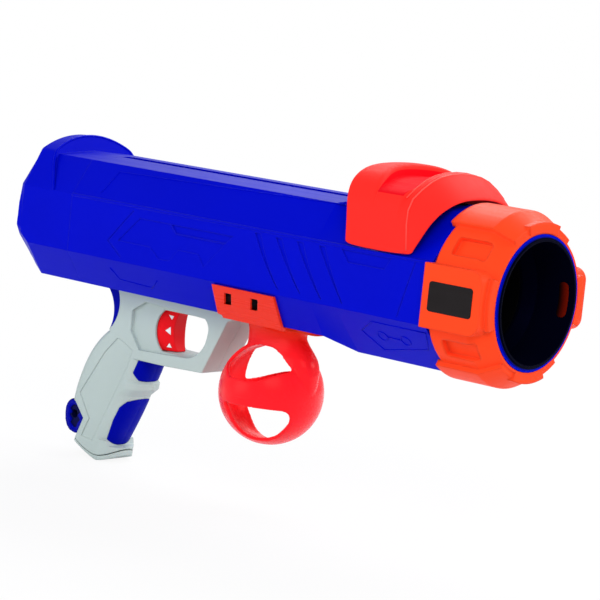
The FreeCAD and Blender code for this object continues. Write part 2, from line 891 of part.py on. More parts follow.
def build_detent_pads():
    """Two upright soft pads that fill the windows of the liner, flush with the mouth's wall."""
    body = new_body("detent_pads")
    pads = draw(new_sketch(body, "XZ_Plane"), detent_outline(s.gap / 2))
    add(body, "Pad", pads, Length=3 * s.liner_radius, Midplane=True)
    edge = -s.detent_place - 2 * s.detent_half_width
    turned(body, [(edge, 0), (1, 0), (1, s.mouth_radius), (edge, s.mouth_radius)], "Groove")
    rim = s.liner_radius
    turned(body, [(edge, rim), (1, rim), (1, 2 * rim), (edge, 2 * rim)], "Groove")


def build_barrel_tube():
    body = new_body("barrel_tube")
    front = -s.mouth_depth - s.funnel_length - 2 - s.gap
    outer = barrel_radius()
    turned(
        body, [(front, s.barrel_bore), (front, outer), (-s.breech_place, outer), (-s.breech_place, s.barrel_bore)]
    )


# Breech, air cylinder and plunger

def breech_back():
    return s.breech_place + s.breech_thickness


def build_breech_plate():
    """Ball stop and cylinder head: a disc with the air port and six ribs that the ball rests on."""
    body = new_body("breech_plate")
    turned(
        body,
        [
            (-s.breech_place, s.port_radius),
            (-s.breech_place, barrel_radius()),
            (-breech_back(), barrel_radius()),
            (-breech_back(), s.port_radius),
        ],
    )
    rib = new_sketch(body, "YZ_Plane", -s.breech_place)
    box(rib, s.port_radius + 2, -s.rib_thickness / 2, s.barrel_bore - 4, s.rib_thickness / 2)
    first = add(body, "Pad", rib, Length=s.rib_height)
    pattern = body.newObject("PartDesign::PolarPattern", "breech_ribs")
    pattern.Originals = [first]
    pattern.Axis = (origin_feature(body, "X_Axis"), [""])
    pattern.Angle = 360.0
    pattern.Occurrences = 6
    body.Tip = pattern


def build_cylinder_gasket():
    body = new_body("cylinder_gasket")
    back = -breech_back() - s.gasket_thickness
    turned(
        body,
        [
            (-breech_back(), s.cylinder_bore),
            (-breech_back(), s.flange_radius),
            (back, s.flange_radius),
            (back, s.cylinder_bore),
        ],
    )


def build_air_cylinder():
    """The plunger's cylinder with its front flange."""
    body = new_body("air_cylinder")
    front = -breech_back() - s.gasket_thickness
    turned(
        body,
        [
            (front, s.cylinder_bore),
            (front, s.flange_radius),
            (front - s.flange_thickness, s.flange_radius),
            (front - s.flange_thickness, cylinder_radius()),
            (-s.cylinder_back, cylinder_radius()),
            (-s.cylinder_back, s.cylinder_bore),
        ],
    )


def build_spring_seat():
    """The plug at the cylinder's back: the mainspring bears on it and the rod slides through it."""
    body = new_body("spring_seat")
    bore = s.rod_radius + s.rod_clearance
    back = -s.cylinder_back - s.seat_thickness
    turned(
        body,
        [
            (-s.cylinder_back + s.seat_thickness, bore),
            (-s.cylinder_back + s.seat_thickness, s.cylinder_bore - s.gap),
            (-s.cylinder_back, s.cylinder_bore - s.gap),
            (-s.cylinder_back, cylinder_radius()),
            (back, cylinder_radius()),
            (back, bore),
        ],
    )


def build_plunger_bumper():
    body = new_body("plunger_bumper")
    back = -breech_back() - s.bumper_thickness
    inner = s.port_radius + 2
    outer = s.cylinder_bore - s.gap
    turned(body, [(-breech_back(), inner), (-breech_back(), outer), (back, outer), (back, inner)])


def rod_front():
    return -s.plunger_front - s.plunger_thickness / 2


def build_plunger_head():
    """The piston: a disc with the seal's groove and a hub that holds the rod."""
    body = new_body("plunger_head")
    radius = s.cylinder_bore - 3 * s.gap
    front = -s.plunger_front
    back = front - s.plunger_thickness
    groove_front = front - (s.plunger_thickness - s.seal_width) / 2
    groove_back = groove_front - s.seal_width
    hub = s.rod_radius + s.hub_wall
    bore = s.rod_radius + s.rod_clearance
    turned(
        body,
        [
            (front, 0),
            (front, radius),
            (groove_front, radius),
            (groove_front, radius - s.seal_depth),
            (groove_back, radius - s.seal_depth),
            (groove_back, radius),
            (back, radius),
            (back, hub),
            (back - s.hub_length, hub),
            (back - s.hub_length, bore),
            (rod_front(), bore),
            (rod_front(), 0),
        ],
    )


def build_plunger_seal():
    body = new_body("plunger_seal")
    margin = (s.plunger_thickness - s.seal_width) / 2 + s.rod_clearance
    front = -s.plunger_front - margin
    back = -s.plunger_front - s.plunger_thickness + margin
    outer = s.cylinder_bore - s.gap
    inner = s.cylinder_bore - 3 * s.gap - s.seal_depth + s.rod_clearance
    turned(body, [(front, inner), (front, outer), (back, outer), (back, inner)])


def build_plunger_rod():
    """The rod, with the catch notch that the sear holds when the slide is drawn, and the cross hole at its tail."""
    body = new_body("plunger_rod")
    tail = -s.rod_tail
    turned(
        body,
        [(rod_front(), 0), (rod_front(), s.rod_radius), (tail + 1, s.rod_radius), (tail, s.rod_radius - 1), (tail, 0)],
    )
    notch = new_sketch(body, "XZ_Plane")
    centre = -s.sear_pivot + s.stroke + 3
    box(notch, centre - 4, -s.rod_radius - 1, centre + 4, -s.rod_radius + s.notch_depth)
    add(body, "Pocket", notch, Type=1, Midplane=True)
    hole = circle(new_sketch(body, "XZ_Plane"), -s.rod_pin_place, 0, s.rod_pin_radius + s.rod_clearance)
    add(body, "Pocket", hole, Type=1, Midplane=True)


def build_rod_pin():
    body = new_body("rod_pin")
    pin = circle(new_sketch(body, "XZ_Plane"), -s.rod_pin_place, 0, s.rod_pin_radius)
    add(body, "Pad", pin, Length=s.rod_pin_length, Midplane=True)


def build_mainspring():
    """The spring's envelope inside the closed cylinder."""
    body = new_body("mainspring")
    front = -s.plunger_front - s.plunger_thickness - s.gap
    back = -s.cylinder_back + s.seat_thickness + s.gap
    outer = s.spring_radius + s.spring_wire / 2
    inner = s.spring_radius - s.spring_wire / 2
    turned(body, [(front, inner), (front, outer), (back, outer), (back, inner)])


# Draw bar and priming slide

def build_slide_bar():
    """The bar under the roof: two posts to the slide through the slot, and a fork over the rod's cross pin."""
    body = new_body("slide_bar")
    top = s.bar_bottom + s.bar_thickness
    width = 2 * s.bar_half_width
    strap = new_sketch(body, "XZ_Plane")
    box(strap, -s.fork_back, s.bar_bottom, -s.bar_front, top)
    add(body, "Pad", strap, Length=width, Midplane=True)
    posts = new_sketch(body, "XZ_Plane")
    half = s.post_length / 2
    for place in (s.front_post, s.rear_post):
        box(posts, -place - half, top - 1, -place + half, s.slide_arch_height - s.gap)
    add(body, "Pad", posts, Length=width, Midplane=True)
    fork = new_sketch(body, "YZ_Plane", -s.fork_back)
    inner = s.rod_radius + s.gap
    outer = s.fork_half_width
    draw(
        fork,
        [
            (-outer, top),
            (-outer, -s.fork_bottom),
            (-inner, -s.fork_bottom),
            (-inner, 0),
            via(0, inner),
            (inner, 0),
            (inner, -s.fork_bottom),
            (outer, -s.fork_bottom),
            (outer, top),
        ],
    )
    add(body, "Pad", fork, Length=s.fork_thickness)
    shanks = new_sketch(body, "XY_Plane", s.bar_bottom)
    heads = new_sketch(body, "XY_Plane", s.bar_bottom)
    for place in (s.front_post, s.rear_post):
        circle(shanks, -place, 0, s.screw_radius + s.rod_clearance)
        circle(heads, -place, 0, s.screw_head_radius + s.gap)
    add(body, "Pocket", shanks, Length=s.slide_height, Reversed=True)
    add(body, "Pocket", heads, Length=s.screw_head_height + s.rod_clearance, Reversed=True)


def build_slide_screws():
    body = new_body("slide_screws")
    shanks = new_sketch(body, "XY_Plane", s.bar_bottom)
    heads = new_sketch(body, "XY_Plane", s.bar_bottom)
    for place in (s.front_post, s.rear_post):
        circle(shanks, -place, 0, s.screw_radius)
        circle(heads, -place, 0, s.screw_head_radius)
    add(body, "Pad", shanks, Length=s.slide_arch_height + s.slide_screw_reach - s.bar_bottom)
    add(body, "Pad", heads, Length=s.screw_head_height)


def rear_slide_outline():
    """The slide's outer outline behind the finger pocket, where it is broader and rounder."""
    return [
        (-s.slide_half_width, s.slide_bottom),
        (s.slide_half_width, s.slide_bottom),
        (s.slide_half_width, s.slide_shoulder),
        (s.hump_step_half, s.hump_step_height),
        (s.hump_crown_half, s.hump_crown_edge),
        via(0, s.slide_height),
        (-s.hump_crown_half, s.hump_crown_edge),
        (-s.hump_step_half, s.hump_step_height),
        (-s.slide_half_width, s.slide_shoulder),
    ]


def slide_outline(inset):
    """The slide's outer outline at its front, drawn in by an inset for the bevelled nose."""
    side = s.slide_half_width - 0.6 * inset
    shoulder = s.slide_shoulder - 0.5 * inset
    step = (s.slide_step_half - 0.45 * inset, s.slide_step_height - 0.6 * inset)
    crown = (s.slide_crown_half - 0.4 * inset, s.slide_crown_edge - 0.85 * inset)
    return [
        (-side, s.slide_bottom),
        (side, s.slide_bottom),
        (side, shoulder),
        step,
        crown,
        via(0, s.slide_height - inset),
        (-crown[0], crown[1]),
        (-step[0], step[1]),
        (-side, shoulder),
    ]


def build_prime_slide():
    """The saddle that is pulled back to prime: arched over the roof, with a bevelled nose and a finger pocket."""
    body = new_body("prime_slide")
    hump = draw(new_sketch(body, "YZ_Plane", -s.slide_bulge), rear_slide_outline())
    add(body, "Pad", hump, Length=s.slide_bulge - s.pocket_back)
    hump_front = draw(new_sketch(body, "YZ_Plane", -s.pocket_back), rear_slide_outline())
    waist = draw(new_sketch(body, "YZ_Plane", -s.pocket_front - 3), slide_outline(as_size(0)))
    loft(body, [hump_front, waist])
    main = draw(new_sketch(body, "YZ_Plane", -s.pocket_front - 3), slide_outline(as_size(0)))
    add(body, "Pad", main, Length=s.pocket_front + 3 - s.slide_front)
    back = draw(new_sketch(body, "YZ_Plane", -s.slide_front), slide_outline(as_size(0)))
    front = draw(new_sketch(body, "YZ_Plane", -s.slide_nose), slide_outline(s.slide_height - s.slide_arch_height - 1))
    loft(body, [back, front])
    arch = new_sketch(body, "YZ_Plane", -s.slide_nose + 1)
    foot = s.slide_arch_foot
    draw(
        arch,
        [
            (-foot, s.slide_bottom - 5),
            (foot, s.slide_bottom - 5),
            (foot, s.slide_bottom + 2.5),
            via(s.arch_haunch_half, s.arch_haunch_height),
            (s.arch_shoulder_half, s.arch_shoulder_height),
            via(0, s.slide_arch_height),
            (-s.arch_shoulder_half, s.arch_shoulder_height),
            via(-s.arch_haunch_half, s.arch_haunch_height),
            (-foot, s.slide_bottom + 2.5),
        ],
    )
    add(body, "Pocket", arch, Length=s.slide_bulge)
    rear = new_sketch(body, "XZ_Plane")
    over = s.slide_height + 5
    corner_bow = s.slide_corner * (1 - cosine(45.0))
    draw(
        rear,
        [
            (-s.slide_bulge - 8, s.slide_bottom - 5),
            (-s.slide_back + s.slide_corner, s.slide_bottom - 5),
            (-s.slide_back + s.slide_corner, s.slide_bottom),
            via(-s.slide_back + corner_bow, s.slide_bottom + corner_bow),
            (-s.slide_back, s.slide_bottom + s.slide_corner),
            (-s.slide_back, s.slide_shoulder - 2),
            via(-s.slide_back - 2, s.slide_shoulder + 8),
            (-s.slide_bulge + 1, s.slide_crown_edge),
            (-s.slide_bulge + 4, over),
            (-s.slide_bulge - 8, over),
        ],
    )
    add(body, "Pocket", rear, Type=1, Midplane=True)
    foot = new_sketch(body, "XZ_Plane")
    front = -s.slide_front + s.slide_corner
    draw(
        foot,
        [
            (front - s.slide_corner, s.slide_bottom),
            (front - s.slide_corner, s.slide_bottom - 5),
            (-s.slide_nose + 2, s.slide_bottom - 5),
            (-s.slide_nose + 2, s.slide_bottom + s.slide_corner),
            (front, s.slide_bottom + s.slide_corner),
            via(front - corner_bow, s.slide_bottom + corner_bow),
        ],
    )
    add(body, "Pocket", foot, Type=1, Midplane=True)
    pocket = new_sketch(body, "YZ_Plane", -s.pocket_front)
    ledge = s.slide_crown_half + 6
    draw(
        pocket,
        [
            (-s.slide_half_width - 5, s.pocket_edge_height),
            (-ledge, s.pocket_edge_height),
            via(0, s.slide_height - s.pocket_depth),
            (ledge, s.pocket_edge_height),
            (s.slide_half_width + 5, s.pocket_edge_height),
            (s.slide_half_width + 5, over),
            (-s.slide_half_width - 5, over),
        ],
    )
    add(body, "Pocket", pocket, Length=s.pocket_back - s.pocket_front)
    holes = new_sketch(body, "XY_Plane", s.slide_arch_height - 5)
    reach = 5 + s.slide_screw_reach + 0.5
    for place in (s.front_post, s.rear_post):
        circle(holes, -place, 0, s.screw_radius + s.rod_clearance)
    add(body, "Pocket", holes, Length=reach, Reversed=True)


# Grip

GRIP_SCREWS = [(238.0, 46.2), (346.0, 113.0), (338.0, 145.0)]


def guard_outline():
    """The flat upper block with the finger guard; its lower end runs into the handle."""
    top = s.grip_top
    return [
        behind(333.6, top),
        behind(222.0, top),
        behind(222.0, 45.0),
        behind(231.8, 49.5),
        behind(250.0, 86.8),
        behind(284.4, 88.3),
        behind(330.0, 88.6),
        behind(337.9, 71.9),
        ("via", -as_size(330.3), -as_size(57.0)),
    ]


# The handle's sections: depth below the axis, then the front and the back tip behind the muzzle.
HANDLE = [
    (72.3, 302.0, 342.0),
    (88.0, 302.5, 357.3),
    (97.0, 305.5, 362.5),
    (110.0, 311.0, 367.7),
    (125.0, 317.5, 371.5),
    (150.0, 330.0, 370.0),
    (166.0, 338.0, 367.0),
]
KNUCKLE = [(104.3, 308.4, 350.0), (106.0, 306.5, 350.0), (110.0, 306.8, 350.0), (116.0, 314.0, 350.0)]
TOE = [(149.2, 325.0, 360.0), (166.0, 327.0, 360.0)]


def handle_section(body, station, side, rise=0.0):
    """A level section of the handle: flat sides, a rounded front and a rounded back. Side 0 draws it whole."""
    depth, front, back = station
    sketch = new_sketch(body, "XY_Plane", -as_size(depth))
    half = s.grip_half_width + rise
    tip = -as_size(front) + rise
    tail = -as_size(back) - rise
    nose = -as_size(front) - s.handle_nose
    heel = -as_size(back) + s.handle_heel
    share = cosine(45.0)
    front_bow = nose + share * (tip - nose)
    back_bow = heel + share * (tail - heel)
    if side:
        return draw(
            sketch,
            [
                (tail, as_size(0)),
                via(back_bow, side * share * half),
                (heel, side * half),
                (nose, side * half),
                via(front_bow, side * share * half),
                (tip, as_size(0)),
            ],
        )
    return draw(
        sketch,
        [
            (heel, half),
            (nose, half),
            via(front_bow, share * half),
            (tip, as_size(0)),
            via(front_bow, -1 * share * half),
            (nose, -1 * half),
            (heel, -1 * half),
            via(back_bow, -1 * share * half),
            (tail, as_size(0)),
            via(back_bow, share * half),
        ],
    )


def handle_loft(body, stations, side, smooth=True, rise=0.0):
    sketches = [handle_section(body, station, side, rise) for station in stations]
    sections = [(sketch, [""]) for sketch in sketches[1:]]
    add(body, "AdditiveLoft", sketches[0], Sections=sections, Ruled=not smooth)


def trim_outside(body, outline):
    """Keeps only what lies inside an outline seen from the side."""
    frame = new_sketch(body, "XZ_Plane")
    box(frame, -420.0, -200.0, -270.0, -60.0)
    draw(frame, outline)
    add(body, "Pocket", frame, Type=1, Midplane=True)


def window_outline():
    return [
        behind(306.7, 48.5),
        behind(318.0, 55.8),
        behind(318.0, 69.6),
        behind(308.8, 81.7),
        behind(265.0, 79.6),
        ("via", -as_size(253.0), -as_size(73.0)),
        behind(248.0, 61.0),
        ("via", -as_size(248.2), -as_size(55.0)),
        behind(251.5, 50.8),
    ]


def hole_outline():
    """The finger hole, with a curved rear edge that the trigger stands out of."""
    return [
        behind(290.5, 51.2),
        ("via", -as_size(297.4), -as_size(65.5)),
        behind(289.9, 79.4),
        behind(265.0, 79.6),
        ("via", -as_size(253.0), -as_size(73.0)),
        behind(248.0, 61.0),
        ("via", -as_size(248.2), -as_size(55.0)),
        behind(251.5, 50.8),
    ]


def well_outline():
    """The trigger's well behind the finger hole."""
    rear = s.trigger_back + s.trigger_travel + s.gap
    top = s.trigger_top - 2 * s.gap
    low = s.trigger_bottom + 2 * s.gap
    return [behind(288.0, top), behind(rear, top), behind(rear, low), behind(288.0, low)]


def stem_outline():
    """The rooms of the trigger's stem and of its spring, behind the well."""
    rear = s.trigger_back + s.trigger_travel
    room = s.small_spring_radius + s.gap
    depth = s.trigger_spring_depth
    return [
        behind(rear, s.stem_top),
        behind(s.sear_pivot + 12, s.stem_top),
        behind(s.sear_pivot + 12, s.stem_bottom),
        behind(rear + 4, s.stem_bottom),
        behind(rear + 4, depth - room),
        behind(s.trigger_spring_back + s.gap, depth - room),
        behind(s.trigger_spring_back + s.gap, depth + room),
        behind(rear, depth + room),
    ]


def upper_inlay_outline(trim):
    """The upper inlay seen from the side, trimmed all round."""
    return [
        behind(309.5 - trim, 88.7 + trim),
        behind(313.4 - trim, 98.2),
        behind(311.0 - trim, 103.6 - trim),
        behind(305.0, 105.4 - trim),
        behind(290.0, 105.4 - trim),
        behind(290.0, 88.7 + trim),
    ]


def lower_inlay_outline(trim):
    """The lower inlay seen from the side, trimmed all round."""
    return [
        behind(319.0 - trim, 119.6 + trim),
        behind(323.5 - trim, 124.2),
        behind(328.0 - trim, 133.4),
        behind(333.8 - trim, 148.3),
        behind(331.2 - trim, 152.9 - trim),
        behind(325.0, 154.2 - trim),
        behind(300.0, 154.2 - trim),
        behind(300.0, 116.4 + trim),
        behind(313.0, 116.8 + trim),
    ]


def lanyard_outline(trim):
    return [
        behind(363.8, 127.4 + trim),
        behind(355.0 + trim, 137.4),
        behind(360.6, 149.9 - trim),
        behind(366.0, 150.4 - trim),
        ("via", -as_size(373.5), -as_size(146.0)),
        behind(376.0, 137.0),
        ("via", -as_size(375.0), -as_size(130.5)),
        behind(370.0, 126.6),
    ]


def grip_half(label, side):
    """One half of the grip: the flat guard block, the rounded handle, the finger hole and the trigger's slot."""
    body = new_body(label)
    outline = draw(new_sketch(body, "XZ_Plane"), guard_outline())
    add(body, "Pad", outline, Length=s.grip_half_width, Reversed=side > 0)
    handle_loft(body, HANDLE, side)
    handle_loft(body, KNUCKLE, side, smooth=False)
    handle_loft(body, TOE, side, smooth=False)
    foot = new_sketch(body, "XZ_Plane")
    draw(
        foot,
        [
            behind(390.0, 125.6),
            behind(370.5, 126.2),
            behind(363.8, 127.2),
            behind(355.0, 137.4),
            behind(361.4, 152.4),
            ("via", -as_size(352.5), -as_size(157.4)),
            behind(342.0, 160.4),
            ("via", -as_size(332.5), -as_size(158.6)),
            behind(322.0, 151.0),
            behind(310.0, 151.0),
            behind(310.0, 175.0),
            behind(390.0, 175.0),
        ],
    )
    add(body, "Pocket", foot, Length=2 * s.grip_half_width, Reversed=side < 0)
    window = draw(new_sketch(body, "XZ_Plane", -side * s.grip_half_width), window_outline())
    add(body, "Pocket", window, Length=s.grip_half_width - s.window_plate, Reversed=side > 0)
    hole = draw(new_sketch(body, "XZ_Plane"), hole_outline())
    add(body, "Pocket", hole, Length=s.grip_half_width, Reversed=side < 0)
    panel = new_sketch(body, "XZ_Plane", -side * s.grip_half_width)
    draw(
        panel,
        [
            behind(329.5, 77.1),
            behind(340.4, 88.7),
            behind(360.6, 120.4),
            behind(349.6, 136.6),
            behind(355.7, 149.8),
            behind(344.8, 151.1),
            behind(319.1, 97.4),
            behind(314.4, 82.8),
            behind(326.6, 77.3),
        ],
    )
    add(body, "Pocket", panel, Length=s.panel_depth, Reversed=side > 0)
    cuts = new_sketch(body, "XZ_Plane")
    draw(cuts, upper_inlay_outline(0.0))
    draw(cuts, lower_inlay_outline(0.0))
    add(body, "Pocket", cuts, Length=2 * s.grip_half_width, Reversed=side < 0)
    well = draw(new_sketch(body, "XZ_Plane"), well_outline())
    add(body, "Pocket", well, Length=s.trigger_half_width + s.gap, Reversed=side < 0)
    slot = draw(new_sketch(body, "XZ_Plane"), stem_outline())
    add(body, "Pocket", slot, Length=s.stem_half_width + s.gap, Reversed=side < 0)
    shaft = new_sketch(body, "XZ_Plane")
    box(shaft, -s.sear_pivot - 11, -s.stem_bottom, -s.sear_pivot + 9, -s.grip_top + 1)
    add(body, "Pocket", shaft, Length=s.sear_half_width + 1, Reversed=side < 0)
    screws = new_sketch(body, "XZ_Plane")
    heads = new_sketch(body, "XZ_Plane", -s.grip_half_width)
    for place, depth in GRIP_SCREWS:
        circle(screws, -place, -depth, s.screw_radius + s.rod_clearance)
        circle(heads, -place, -depth, s.screw_head_radius + s.gap)
    add(body, "Pocket", screws, Length=s.grip_half_width if side > 0 else as_size(SCREW_REACH), Reversed=side < 0)
    if side > 0:
        add(body, "Pocket", heads, Length=s.screw_head_height + 0.5, Reversed=True)


def build_grip_pads():
    """The soft inlays, the backstrap, the lanyard block and the butt cap."""
    for label, outline in (("inlay_upper", upper_inlay_outline(0.15)), ("inlay_lower", lower_inlay_outline(0.15))):
        inlay = new_body(label)
        handle_loft(inlay, HANDLE, 0, rise=s.inlay_rise)
        trim_outside(inlay, outline)
    strap = new_body("backstrap")
    outline = new_sketch(strap, "XZ_Plane")
    draw(
        outline,
        [
            behind(345.5, s.grip_top),
            behind(333.8 + s.gap, s.grip_top),
            ("via", -as_size(330.6) - s.gap, -as_size(57.0)),
            behind(338.4, 71.6),
            ("via", -as_size(336.2), -as_size(57.0)),
        ],
    )
    add(strap, "Pad", outline, Length=2 * s.backstrap_half_width, Midplane=True)
    block = new_body("lanyard_block")
    outline = draw(new_sketch(block, "XZ_Plane"), lanyard_outline(0.15))
    add(block, "Pad", outline, Length=2 * s.lanyard_half_width, Midplane=True)
    loop = circle(new_sketch(block, "XZ_Plane"), -367.5, -137.0, s.lanyard_hole)
    add(block, "Pocket", loop, Type=1, Midplane=True)
    cap = new_body("butt_cap")
    handle_loft(cap, [(149.2, 324.6, 370.0), (170.0, 327.6, 367.0)], 0, smooth=False)
    trim_outside(
        cap,
        [
            behind(361.4, 152.9),
            ("via", -as_size(352.5), -as_size(157.9)),
            behind(342.0, 160.9),
            ("via", -as_size(332.2), -as_size(159.1)),
            behind(321.0, 151.3),
            behind(319.0, 152.6),
            ("via", -as_size(330.0), -as_size(161.3)),
            behind(340.0, 163.8),
            ("via", -as_size(351.0), -as_size(159.9)),
            behind(362.0, 154.2),
        ],
    )


def screw_group(label, places, seat, reach):
    """Screws along Y: heads on the left side on a seat, shanks that end in the right half."""
    body = new_body(label)
    shanks = new_sketch(body, "XZ_Plane", reach)
    heads = new_sketch(body, "XZ_Plane", -as_size(seat))
    for place, height in places:
        circle(shanks, -place, height, s.screw_radius)
        circle(heads, -place, height, s.screw_head_radius)
    add(body, "Pad", shanks, Length=as_size(reach) + seat, Reversed=True)
    add(body, "Pad", heads, Length=s.screw_head_height, Reversed=True)


# Trigger and sear

TRIGGER_PITS = [
    [(290.8, 54.7), (287.4, 55.3), (288.7, 58.2)],
    [(292.3, 65.7), (288.9, 62.4), (288.4, 68.6)],
    [(290.6, 76.9), (288.9, 73.6), (286.9, 76.9)],
]


def build_trigger():
    """The trigger: a broad body whose flanks close in to a hollow front edge, with three pits on each flank."""
    body = new_body("trigger")
    side = draw(
        new_sketch(body, "XZ_Plane"),
        [
            behind(s.trigger_back, s.trigger_top),
            behind(s.trigger_back, s.trigger_bottom),
            behind(s.trigger_front - 0.4, s.trigger_bottom),
            ("via", -s.trigger_front - 3, -as_size(65.0)),
            behind(s.trigger_front, s.trigger_top),
        ],
    )
    add(body, "Pad", side, Length=2 * s.trigger_half_width, Midplane=True)
    flanks = new_sketch(body, "XY_Plane", -s.trigger_bottom - 1)
    nose = -s.trigger_front + 1
    out = s.trigger_half_width + 1
    for side in (1, -1):
        draw(
            flanks,
            [
                (-s.trigger_flank, side * s.trigger_half_width),
                (nose, side * (s.trigger_nose_half - 0.5)),
                (nose, side * out),
                (-s.trigger_flank, side * out),
            ],
        )
    add(body, "Pocket", flanks, Length=s.trigger_bottom - s.trigger_top + 2, Reversed=True)
    for side in (1, -1):
        pits = new_sketch(body, "XZ_Plane", -side * out)
        for corners in TRIGGER_PITS:
            draw(pits, [behind(*corner) for corner in corners])
        add(body, "Pocket", pits, Length=out - s.trigger_nose_half + 0.5, Reversed=side > 0)
    stem = new_sketch(body, "XZ_Plane")
    box(stem, -s.stem_back, -s.stem_bottom + s.gap, -s.trigger_back + 1, -s.stem_top - s.gap)
    add(body, "Pad", stem, Length=2 * s.stem_half_width, Midplane=True)


def build_sear():
    """The lever that the trigger's stem turns: its nose drops out of the rod's notch."""
    body = new_body("sear")
    outline = new_sketch(body, "XZ_Plane")
    x = -s.sear_pivot
    z = -s.sear_pivot_depth
    nose = -s.rod_radius - s.gap
    draw(
        outline,
        [
            (x + 1.5, nose),
            (x + 4.5, nose),
            (x + 5.5, nose - 2.7),
            (x + 4.5, z + 4),
            (x + 4.5, z - 3),
            (x + 2.0, z - 14),
            (-s.stem_back - 2 * s.gap, -s.stem_bottom + 2),
            (-s.stem_back - 2 * s.gap - 3, -s.stem_bottom + 1),
            (x - 2.0, z - 14),
            (x - 4.5, z - 2),
            (x - 3.5, z + 6),
        ],
    )
    add(body, "Pad", outline, Length=2 * s.sear_half_width, Midplane=True)
    hole = circle(new_sketch(body, "XZ_Plane"), x, z, s.sear_pin_radius + s.rod_clearance)
    add(body, "Pocket", hole, Type=1, Midplane=True)


def build_sear_pin():
    body = new_body("sear_pin")
    pin = circle(new_sketch(body, "XZ_Plane"), -s.sear_pivot, -s.sear_pivot_depth, s.sear_pin_radius)
    add(body, "Pad", pin, Length=as_size(2 * SCREW_REACH - 1), Midplane=True)


def small_spring(label, front, back, depth):
    """The envelope of a small spring along X, at a depth below the axis."""
    body = new_body(label)
    coil = new_sketch(body, "YZ_Plane", -as_size(back))
    circle(coil, 0, -as_size(depth), s.small_spring_radius)
    circle(coil, 0, -as_size(depth), s.small_spring_radius - 0.8)
    add(body, "Pad", coil, Length=as_size(back) - front)


# Ball holder

